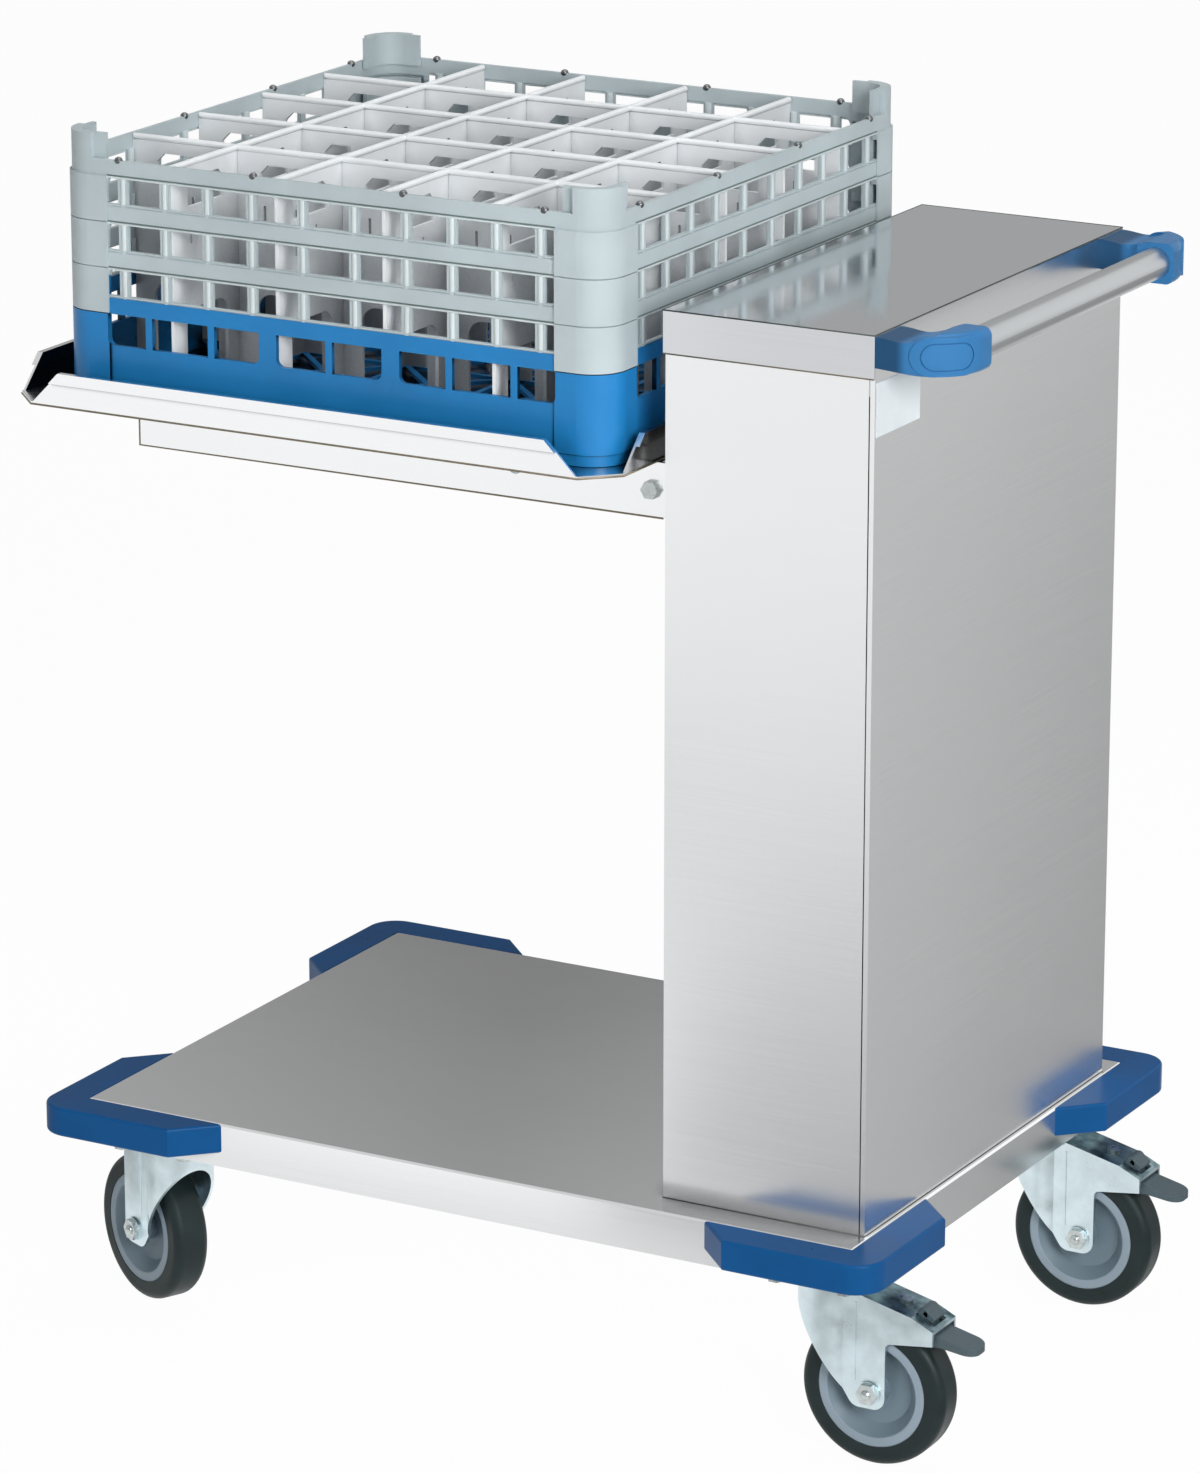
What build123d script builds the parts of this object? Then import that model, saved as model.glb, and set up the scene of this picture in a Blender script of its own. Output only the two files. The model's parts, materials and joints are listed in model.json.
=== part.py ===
from build123d import *
import math
import os

# Self-levelling rack trolley: a sheet-metal deck on four swivel castors, a hollow column at the
# handle end, and a sprung platform that hangs out of the column on two arms and carries a
# stack of open dish racks.
#
# Frame: +X towards the push handle, +Z up, the deck lengthwise along X. "Left" is the -Y side,
# on the left hand of a person at the handle. The floor is z = 0, and the origin is under the
# middle of the whole trolley.

os.makedirs("parts", exist_ok=True)

# Castors
wheel_radius = 62.5
wheel_width = 32.0
tyre_shoulder = 8.0
rim_radius = 46.5
rim_ring = 8.5
rim_web = 10.0
rim_dish = 8.0
rim_step = 0.6
hub_radius = 11.0
hub_length = 35.0
axle_radius = 5.0
axle_nut_height = 5.0
axle_nut_across = 16.0
castor_height = 160.0
castor_trail = 42.0
castor_side_inset = 55.5
castor_inset_handle = 44.0
castor_inset_load = 53.0
load_castor_turn = 154.5
castor_plate_length = 105.0
castor_plate_width = 80.0
castor_plate_thickness = 4.0
castor_bolt_pitch_long = 80.0
castor_bolt_pitch_wide = 60.0
castor_bolt_radius = 4.0
castor_bolt_head = 5.0
castor_bolt_across = 13.0
swivel_race_radius = 27.0
swivel_race_height = 9.7
kingpin_radius = 8.0
kingpin_head_radius = 13.0
kingpin_head_height = 4.0
fork_sheet = 2.5
fork_crown = 3.5
fork_side_gap = 0.5
fork_crown_radius = 28.0
fork_nose = 30.0
fork_nose_height = 9.0
fork_foot = 14.0
fork_foot_drop = 13.0
hood_knee = 36.0
hood_knee_drop = 13.0
hood_tail = 55.0
hood_tail_drop = 22.0
hood_tail_height = 12.0
hood_notch_height = 44.0
hood_notch_corner = 5.0
pedal_width = 28.0
pedal_reach = 88.0
pedal_thickness = 7.0
pedal_pivot_back = 42.0
pedal_pivot_rise = 57.0
pedal_pin_radius = 3.0
pedal_pin_skin = 0.8
pedal_tab_width = 18.0
pedal_tab_length = 9.0
pedal_tab_rise = 14.5
pedal_tab_play = 3.6
pedal_shoe_depth = 12.4
pedal_shoe_length = 12.0

# Deck and corner bumpers
deck_length = 708.0
deck_width = 497.0
deck_rise = 35.0
deck_skirt = 37.0
deck_sheet = 2.0
deck_edge_chamfer = 1.6
channel_width = 84.0
channel_sheet = 3.0
bumper_proud = 32.0
bumper_leg = 130.0
bumper_height = 25.0
bumper_corner = 26.0
bumper_edge = 2.5

# Column
column_depth = 180.0
column_side_inset = 28.0
column_height = 719.0
column_inset = 4.5
column_sheet = 1.5
lid_skirt = 34.0
lid_edge = 0.8
rear_return = 4.0
rear_seam = 1.0
slot_width = 17.0
slot_margin = 12.0

# Push handle
handle_reach = 70.0
handle_tube_radius = 12.5
handle_tube_setback = 16.0
handle_tube_wall = 2.0
handle_drop = 13.0
bracket_height = 33.0
bracket_bend = 48.0
bracket_edge = 7.0
bracket_arm = 43.0
bracket_collar = 54.0
bracket_neck_top = 11.5
bracket_neck_bottom = 12.5
bracket_saddle = 2.0
tube_seat = 18.0
boss_length = 56.0
boss_height = 30.0
boss_proud = 1.2
boss_turn = 42.0
inlay_length = 42.0
inlay_height = 21.5
inlay_groove = 1.0

# Platform tray, arms and carriage
platform_height = 790.0
platform_travel = 420.0
tray_margin = 26.0
tray_sheet = 2.0
tray_flange = 28.0
tray_corner = 26.0
tray_gap = 14.5
hem_height = 9.0
hem_proud = 3.0
arm_inset = 20.5
arm_height = 44.0
arm_sheet = 3.0
arm_flange = 26.0
arm_setback = 79.0
arm_tail = 32.0
arm_bolt_radius = 4.0
arm_bolt_across = 13.0
arm_bolt_head = 5.5
arm_bolt_front = 22.0
arm_bolt_rear = 18.0
carriage_sheet = 4.0
carriage_tongue = 70.0
carriage_height = 214.0
carriage_above_floor = 56.0
carriage_tail = 84.0
carriage_clear = 8.0
carriage_lap = 3.0
tie_width = 30.0
tie_height = 8.0
roller_radius = 16.0
roller_width = 10.0
roller_pin_radius = 5.0
roller_pin_head = 3.0
roller_margin = 22.0
rail_setback = 62.0
rail_sheet = 2.0
rail_depth = 14.0
rail_play = 0.3
roller_end_gap = 1.0

# Lift springs and stops
spring_count = 4
spring_pitch = 84.0
spring_radius = 11.0
spring_plug = 16.0
spring_stud_radius = 3.0
spring_nut_radius = 6.0
spring_nut_height = 5.0
spring_setback = 132.0
hanger_drop = 42.0
hanger_length = 130.0
hanger_sheet = 6.0
hanger_lip = 16.0
spring_bar_width = 40.0
spring_bar_sheet = 6.0
buffer_radius = 12.0

# Dish racks on the platform
rack_size = 500.0
rack_corner = 28.0
rack_shift = 12.0
rack_wall = 4.0
rack_seam = 0.8
rack_seam_depth = 1.0
rack_foot = 9.0
rack_foot_step = 1.0
rack_skirt_wall = 1.6
rack_base_height = 85.0
rack_floor_lift = 4.0
rack_floor_sheet = 3.0
rack_floor_rib = 5.0
rack_pitch = 37.0
rack_band = 12.0
rack_lip = 2.0
rack_shelf = 2.0
rack_skirt_leg = 47.0
rack_gusset = 7.0
rack_post_rise = 20.0
rack_post_root = 6.0
rack_post_leg = 30.0
rack_post_step = 5.0
rack_post_inner_leg = 41.0
extender_count = 3
pillar_places = (23.5, 70.3, 111.1, 150.5, 189.2)
pillar_width = 9.0
pillar_setback = 1.2
base_window_height = 25.5
base_window_drop = 13.0
base_window_corner = 6.0
base_window_end = 204.0
base_mullion = 16.0
base_mullion_place = 56.0
base_rib = 6.0
base_rib_places = (0.0, 108.5, 166.5)
cells_across = 5
divider_sheet = 3.0
divider_window_width = 52.0
divider_window_height = 23.0
divider_window_drop = 14.0
divider_window_corner = 7.0
divider_slit_width = 2.5
divider_slit_height = 20.0
divider_slit_drop = 47.0
divider_slit_places = (-22.0, 8.0)
divider_arch_width = 60.0
divider_arch_height = 70.0
divider_arch_corner = 13.0

# Clearances
running_clearance = 0.06
resting_gap = 0.3
seat_clearance = 0.05
divider_clearance = 0.2

# Widths that follow
castor_track = deck_width - 2 * castor_side_inset
column_width = deck_width - 2 * column_side_inset
arm_spread = column_width - 2 * arm_inset
tray_size = rack_size + 2 * tray_margin

# Heights that follow
deck_top = castor_height + deck_rise
deck_bottom = deck_top - deck_skirt
column_top = deck_top + column_height
shell_top = column_top - column_sheet
platform_under = platform_height - tray_sheet
axle_height = wheel_radius
plate_bottom = castor_height - castor_plate_thickness
crown_top = plate_bottom - swivel_race_height - resting_gap
rack_bottom = platform_height + resting_gap
rack_base_top = rack_bottom + rack_base_height
rack_top = rack_base_top + extender_count * rack_pitch

# Lengthwise places: the rearmost tip, of handle or pedals, and the tray's free hem lie equally
# far from the origin
handle_from_deck = deck_length / 2 - column_inset + handle_reach
pedal_from_deck = deck_length / 2 - castor_inset_handle + castor_trail + pedal_reach
rear_from_deck = max(handle_from_deck, pedal_from_deck)
tray_from_deck = deck_length / 2 - column_inset - column_depth - tray_gap - 2 * hem_proud - tray_size
deck_x = -(rear_from_deck + tray_from_deck) / 2
deck_front = deck_x - deck_length / 2
deck_back = deck_x + deck_length / 2
column_back = deck_back - column_inset
column_front = column_back - column_depth
shell_front = column_front + column_sheet
tray_x = column_front - tray_gap - hem_proud - tray_size / 2
rack_x = tray_x + rack_shift
rail_x = column_front + rail_setback
spring_x = column_front + spring_setback

# Crosswise places
shell_half = column_width / 2 - column_sheet
shell_inner = shell_half - column_sheet
arm_outer = arm_spread / 2
arm_inner = arm_outer - arm_sheet
plate_inner = arm_inner - carriage_sheet

# Ends and sides, with their signs along X and Y
ENDS = (("handle", 1), ("load", -1))
SIDES = (("left", -1), ("right", 1))


def hand_over(piece, node):
    """Label a finished piece and write it as one STEP file."""
    piece.part.label = node
    export_step(piece.part, f"parts/{node}.step")


def mirrored(points, sign_x, sign_y):
    """Return plan points with their signs changed for one corner of the trolley."""
    return [(sign_x * x, sign_y * y) for x, y in points]


# Deck pan: one folded sheet, open underneath
with BuildPart() as deck_pan:
    with BuildSketch(Plane.XY.offset(deck_bottom)):
        with Locations((deck_x, 0)):
            Rectangle(deck_length, deck_width)
    extrude(amount=deck_skirt)
    with BuildSketch(Plane.XY.offset(deck_bottom)):
        with Locations((deck_x, 0)):
            Rectangle(deck_length - 2 * deck_sheet, deck_width - 2 * deck_sheet)
    extrude(amount=deck_skirt - deck_sheet, mode=Mode.SUBTRACT)
    chamfer(deck_pan.faces().sort_by(Axis.Z)[-1].edges(), deck_edge_chamfer)
hand_over(deck_pan, "deck_pan")

# Cross channels that stiffen the deck over each pair of castors
castor_x = {"handle": deck_back - castor_inset_handle, "load": deck_front + castor_inset_load}
with BuildPart() as cross_channels:
    for end, sign in ENDS:
        channel_plane = Plane((castor_x[end], 0, castor_height), x_dir=(1, 0, 0), z_dir=(0, -1, 0))
        with BuildSketch(channel_plane):
            with Locations((0, (deck_rise - deck_sheet) / 2)):
                Rectangle(channel_width, deck_rise - deck_sheet)
            with Locations((0, (deck_rise - deck_sheet) / 2 + channel_sheet)):
                Rectangle(channel_width - 2 * channel_sheet, deck_rise - deck_sheet, mode=Mode.SUBTRACT)
        extrude(amount=deck_width / 2 - deck_sheet, both=True)
hand_over(cross_channels, "cross_channels")

# Corner bumpers: moulded L-shaped blocks, cut at 45 degrees where they end on the skirt
bumper_plan = [
    (-bumper_leg, 0),
    (bumper_proud - bumper_leg, bumper_proud),
    (bumper_proud, bumper_proud),
    (bumper_proud, bumper_proud - bumper_leg),
    (0, -bumper_leg),
    (0, 0),
]
for end, sign_x in ENDS:
    for side, sign_y in SIDES:
        corner_x = deck_x + sign_x * deck_length / 2
        corner_y = sign_y * deck_width / 2
        bumper_plane = Plane((corner_x, corner_y, deck_top - bumper_height))
        with BuildPart() as bumper:
            with BuildSketch(bumper_plane) as bumper_sketch:
                with BuildLine():
                    Polyline(*mirrored(bumper_plan, sign_x, sign_y), close=True)
                make_face()
                far_out = (2 * sign_x * bumper_leg, 2 * sign_y * bumper_leg)
                fillet(bumper_sketch.vertices().sort_by_distance(far_out)[0], bumper_corner)
            extrude(amount=bumper_height, dir=(0, 0, 1))
            rims = bumper.edges().filter_by(lambda edge: abs(edge.tangent_at(0.5).Z) < 0.1)
            outer = [
                edge
                for edge in rims
                if abs(edge.center().X - deck_x) > deck_length / 2 + bumper_edge
                or abs(edge.center().Y) > deck_width / 2 + bumper_edge
            ]
            fillet(outer, bumper_edge)
        hand_over(bumper, f"bumper_{end}_{side}")

# Castor plates under the cross channels, with their bolts
castor_places = [(castor_x[end], sign_y * castor_track / 2) for end, _ in ENDS for _, sign_y in SIDES]
with BuildPart() as castor_plates:
    with BuildSketch(Plane.XY.offset(plate_bottom)):
        with Locations(*castor_places):
            Rectangle(castor_plate_width, castor_plate_length)
    extrude(amount=castor_plate_thickness)
    with BuildSketch(Plane.XY.offset(plate_bottom)):
        for place in castor_places:
            with Locations(place):
                with GridLocations(castor_bolt_pitch_wide, castor_bolt_pitch_long, 2, 2):
                    Circle(castor_bolt_radius + seat_clearance)
    extrude(amount=castor_plate_thickness, mode=Mode.SUBTRACT)
hand_over(castor_plates, "castor_plates")

with BuildPart() as castor_bolts:
    with BuildSketch(Plane.XY.offset(plate_bottom - castor_bolt_head)):
        for place in castor_places:
            with Locations(place):
                with GridLocations(castor_bolt_pitch_wide, castor_bolt_pitch_long, 2, 2):
                    RegularPolygon(castor_bolt_across / 2, 6, major_radius=False)
    extrude(amount=castor_bolt_head)
    with BuildSketch(Plane.XY.offset(plate_bottom)):
        for place in castor_places:
            with Locations(place):
                with GridLocations(castor_bolt_pitch_wide, castor_bolt_pitch_long, 2, 2):
                    Circle(castor_bolt_radius)
    extrude(amount=castor_plate_thickness)
hand_over(castor_bolts, "castor_bolts")

# Swivel heads: race and kingpin, riveted to the plates, that hold each fork by its crown
pin_end = crown_top - fork_crown - resting_gap - kingpin_head_height
with BuildPart() as swivel_heads:
    with Locations(*[(x, y, plate_bottom) for x, y in castor_places]):
        Cylinder(swivel_race_radius, swivel_race_height, align=(Align.CENTER, Align.CENTER, Align.MAX))
        Cylinder(kingpin_radius, plate_bottom - pin_end, align=(Align.CENTER, Align.CENTER, Align.MAX))
    with Locations(*[(x, y, pin_end) for x, y in castor_places]):
        Cylinder(kingpin_head_radius, kingpin_head_height, align=(Align.CENTER, Align.CENTER, Align.MIN))
hand_over(swivel_heads, "swivel_heads")

# Four castors: fork, axle bolt, rim and tyre, and a brake rocker at the handle end
fork_inner_half = hub_length / 2 + fork_side_gap
fork_half = fork_inner_half + fork_sheet
knee_z = crown_top - fork_nose_height
foot_z = axle_height - fork_foot_drop
foot_front = castor_trail - fork_foot
foot_back = castor_trail + fork_foot
hood_knee_x = castor_trail + hood_knee
hood_end_x = castor_trail + hood_tail
hood_knee_z = crown_top - hood_knee_drop
hood_end_z = crown_top - hood_tail_drop
hood_low_z = hood_end_z - hood_tail_height
notch_z = axle_height + hood_notch_height
pivot_x = castor_trail + pedal_pivot_back
pivot_z = axle_height + pedal_pivot_rise
pedal_tip_x = castor_trail + pedal_reach

front_outline = [
    (foot_back, foot_z),
    (foot_front, foot_z),
    (-fork_nose, knee_z),
    (-fork_nose, crown_top),
]
plain_outline = front_outline + [(foot_back, crown_top)]
hood_outline = front_outline + [
    (castor_trail - hood_knee / 2, crown_top),
    (hood_knee_x, hood_knee_z),
    (hood_end_x, hood_end_z),
    (hood_end_x, hood_low_z),
    (foot_back, notch_z),
]
roof_front = [
    (-fork_nose - fork_foot, foot_z - fork_foot),
    (-fork_nose - fork_foot, crown_top - fork_crown),
]
plain_roof = roof_front + [
    (foot_back + fork_foot, crown_top - fork_crown),
    (foot_back + fork_foot, foot_z - fork_foot),
]
hood_roof = roof_front + [
    (castor_trail - hood_knee / 2, crown_top - fork_crown),
    (hood_knee_x - fork_sheet / 2, hood_knee_z - fork_crown),
    (hood_end_x - fork_sheet, hood_end_z - fork_sheet),
    (hood_end_x + fork_foot, hood_end_z - fork_sheet),
    (hood_end_x + fork_foot, foot_z - fork_foot),
]
pedal_outline = [
    (pivot_x - pedal_tab_length / 2, pivot_z - pedal_thickness / 2),
    (hood_end_x - pedal_thickness, pivot_z - 1.2 * pedal_thickness),
    (pedal_tip_x, pivot_z - 1.9 * pedal_thickness),
    (pedal_tip_x, pivot_z - 1.2 * pedal_thickness),
    (hood_end_x, pivot_z - 0.1 * pedal_thickness),
    (pivot_x - pedal_tab_length / 2, pivot_z + pedal_thickness / 2),
]

shoe_outline = [
    (pivot_x + 0.1 * pedal_shoe_length, pivot_z - 0.25 * pedal_shoe_depth),
    (pivot_x + 0.1 * pedal_shoe_length, pivot_z - 0.68 * pedal_shoe_depth),
    (pivot_x + 0.5 * pedal_shoe_length, pivot_z - pedal_shoe_depth),
    (pivot_x + pedal_shoe_length, pivot_z - pedal_shoe_depth),
    (pivot_x + pedal_shoe_length, pivot_z - 0.4 * pedal_shoe_depth),
]

for end, sign_x in ENDS:
    braked = end == "handle"
    turn = 0.0 if braked else load_castor_turn
    trail_dir = Vector(math.cos(math.radians(turn)), math.sin(math.radians(turn)), 0)
    face_dir = Vector(math.sin(math.radians(turn)), -math.cos(math.radians(turn)), 0)
    for side, sign_y in SIDES:
        place = Vector(castor_x[end], sign_y * castor_track / 2, 0)
        side_plane = Plane(place, x_dir=trail_dir, z_dir=face_dir)
        axle_point = place + trail_dir * castor_trail + Vector(0, 0, axle_height)
        axle_plane = Plane(axle_point, x_dir=face_dir, z_dir=-trail_dir)
        axle_line = Axis(axle_point, face_dir)

        # Fork: a pressed shell, round at its crown and open behind and below
        plan_plane = Plane((place.X, place.Y, foot_z - fork_foot), x_dir=trail_dir, z_dir=(0, 0, 1))
        fork_reach = hood_end_x + fork_foot
        fork_depth = crown_top - foot_z + fork_foot
        with BuildPart() as fork_hollow:
            with BuildSketch(plan_plane):
                Circle(fork_crown_radius - fork_sheet)
                with Locations((fork_reach / 2, 0)):
                    Rectangle(fork_reach, 2 * fork_inner_half)
            extrude(amount=fork_depth)
            with BuildSketch(side_plane):
                with BuildLine():
                    Polyline(*(hood_roof if braked else plain_roof), close=True)
                make_face()
            extrude(amount=fork_crown_radius, both=True, mode=Mode.INTERSECT)
        with BuildPart() as fork:
            with BuildSketch(side_plane) as fork_side:
                with BuildLine():
                    Polyline(*(hood_outline if braked else plain_outline), close=True)
                make_face()
                feet = fork_side.vertices().group_by(Axis.Y)[0]
                fillet(feet, fork_foot_drop - axle_radius / 2)
                if braked:
                    notch = fork_side.vertices().sort_by_distance((foot_back, notch_z))[0]
                    fillet(notch, hood_notch_corner)
            extrude(amount=fork_crown_radius, both=True)
            with BuildSketch(plan_plane):
                Circle(fork_crown_radius)
                with Locations((fork_reach / 2, 0)):
                    Rectangle(fork_reach, 2 * fork_half)
            extrude(amount=fork_depth, mode=Mode.INTERSECT)
            add(fork_hollow.part, mode=Mode.SUBTRACT)
            with Locations(Location((place.X, place.Y, crown_top))):
                Cylinder(
                    kingpin_radius + running_clearance,
                    4 * fork_crown,
                    align=(Align.CENTER, Align.CENTER, Align.CENTER),
                    mode=Mode.SUBTRACT,
                )
            with BuildSketch(side_plane):
                with Locations((castor_trail, axle_height)):
                    Circle(axle_radius + seat_clearance)
            extrude(amount=fork_half, both=True, mode=Mode.SUBTRACT)
            if braked:
                with BuildSketch(side_plane):
                    with Locations((pivot_x, pivot_z)):
                        Circle(pedal_pin_radius + running_clearance)
                extrude(amount=fork_half - pedal_pin_skin, both=True, mode=Mode.SUBTRACT)
                window_x = pivot_x + pedal_tab_play / 2
                with BuildSketch(Plane((place.X + window_x, place.Y, hood_end_z - fork_sheet))):
                    Rectangle(pedal_tab_length + 2 * pedal_tab_play, pedal_tab_width + pedal_tab_play)
                extrude(amount=crown_top - hood_end_z, mode=Mode.SUBTRACT)
        hand_over(fork, f"castor_fork_{end}_{side}")

        # Axle bolt with its head and nut
        with BuildPart() as axle:
            with BuildSketch(side_plane):
                with Locations((castor_trail, axle_height)):
                    Circle(axle_radius)
            extrude(amount=fork_half, both=True)
            for nut_side in (1, -1):
                with BuildSketch(side_plane.offset(nut_side * fork_half)):
                    with Locations((castor_trail, axle_height)):
                        RegularPolygon(axle_nut_across / 2, 6, major_radius=False)
                extrude(amount=nut_side * axle_nut_height)
        hand_over(axle, f"axle_bolt_{end}_{side}")

        # Wheel rim: hub, dished web and seat ring
        ring_inner = rim_radius - rim_ring
        rim_half = [
            (hub_length / 2, axle_radius + running_clearance),
            (hub_length / 2, hub_radius),
            (rim_web / 2, hub_radius + rim_step),
            (rim_web / 2, ring_inner - rim_dish),
            (wheel_width / 2 - 2 * rim_step, ring_inner),
            (wheel_width / 2 - rim_step, ring_inner + rim_step),
            (wheel_width / 2 - rim_step, rim_radius),
        ]
        with BuildPart() as rim:
            with BuildSketch(axle_plane):
                with BuildLine():
                    Polyline(*rim_half, *[(-u, r) for u, r in reversed(rim_half)], close=True)
                make_face()
            revolve(axis=axle_line)
        hand_over(rim, f"wheel_rim_{end}_{side}")

        # Tyre with rounded shoulders
        with BuildPart() as tyre:
            with BuildSketch(axle_plane) as tyre_section:
                seat = rim_radius + seat_clearance
                with Locations((0, (seat + wheel_radius) / 2)):
                    Rectangle(wheel_width, wheel_radius - seat)
                fillet(tyre_section.vertices().group_by(Axis.Y)[-1], tyre_shoulder)
            revolve(axis=axle_line)
        hand_over(tyre, f"tyre_{end}_{side}")

        # Brake rocker: foot pad, release tab and trunnions in the hood's cheeks
        if braked:
            with BuildPart() as pedal:
                with BuildSketch(side_plane):
                    with BuildLine():
                        Polyline(*pedal_outline, close=True)
                    make_face()
                extrude(amount=pedal_width / 2, both=True)
                toe = pedal.edges().filter_by(Axis.Z).group_by(Axis.X)[-1]
                fillet(toe, pedal_width / 2 - 3)
                with BuildSketch(side_plane):
                    with Locations((pivot_x, pivot_z + pedal_tab_rise / 2)):
                        Rectangle(pedal_tab_length, pedal_tab_rise)
                    with BuildLine():
                        Polyline(*shoe_outline, close=True)
                    make_face()
                extrude(amount=pedal_tab_width / 2, both=True)
                with BuildSketch(side_plane):
                    with Locations((pivot_x, pivot_z)):
                        Circle(pedal_pin_radius)
                extrude(amount=fork_half - pedal_pin_skin - resting_gap, both=True)
            hand_over(pedal, f"brake_pedal_{side}")

# Column shell: front and two sides folded from one sheet, with two slots for the arms
shell_back = column_back - rear_return - rear_seam
slot_top = platform_under + slot_margin
slot_bottom = platform_under - platform_travel - arm_height - slot_margin
slot_y = (arm_outer + plate_inner) / 2
with BuildPart() as column_shell:
    with BuildSketch(Plane.XY.offset(deck_top)):
        with Locations(((shell_front + shell_back) / 2, 0)):
            Rectangle(shell_back - shell_front, 2 * shell_half)
        with Locations(((shell_front + shell_back) / 2 + column_sheet, 0)):
            Rectangle(shell_back - shell_front, 2 * shell_inner, mode=Mode.SUBTRACT)
    extrude(amount=shell_top - deck_top)
    front_plane = Plane((shell_front, 0, (slot_top + slot_bottom) / 2), x_dir=(0, 1, 0), z_dir=(1, 0, 0))
    with BuildSketch(front_plane):
        with Locations((-slot_y, 0), (slot_y, 0)):
            Rectangle(slot_width, slot_top - slot_bottom)
    extrude(amount=column_sheet, mode=Mode.SUBTRACT)
hand_over(column_shell, "column_shell")

# Rear panel: a shallow tray that closes the column, with returns at its long edges
with BuildPart() as rear_panel:
    with BuildSketch(Plane.XY.offset(deck_top)):
        with Locations((column_back - column_sheet / 2, 0)):
            Rectangle(column_sheet, 2 * shell_half)
        with Locations((column_back - rear_return / 2, 0)):
            with GridLocations(0, 2 * shell_half - column_sheet, 1, 2):
                Rectangle(rear_return, column_sheet)
    extrude(amount=shell_top - deck_top)
hand_over(rear_panel, "rear_panel")

# Lid: a cap with skirts on three sides
with BuildPart() as column_lid:
    with BuildSketch(Plane.XY.offset(column_top - lid_skirt)):
        with Locations(((column_front + column_back) / 2, 0)):
            Rectangle(column_depth, column_width)
    extrude(amount=lid_skirt)
    with BuildSketch(Plane.XY.offset(column_top - lid_skirt)):
        with Locations(((shell_front + column_back) / 2, 0)):
            Rectangle(column_depth - column_sheet, 2 * shell_half)
    extrude(amount=lid_skirt - column_sheet, mode=Mode.SUBTRACT)
    chamfer(column_lid.faces().sort_by(Axis.Z)[-1].edges(), lid_edge)
hand_over(column_lid, "column_lid")

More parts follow.
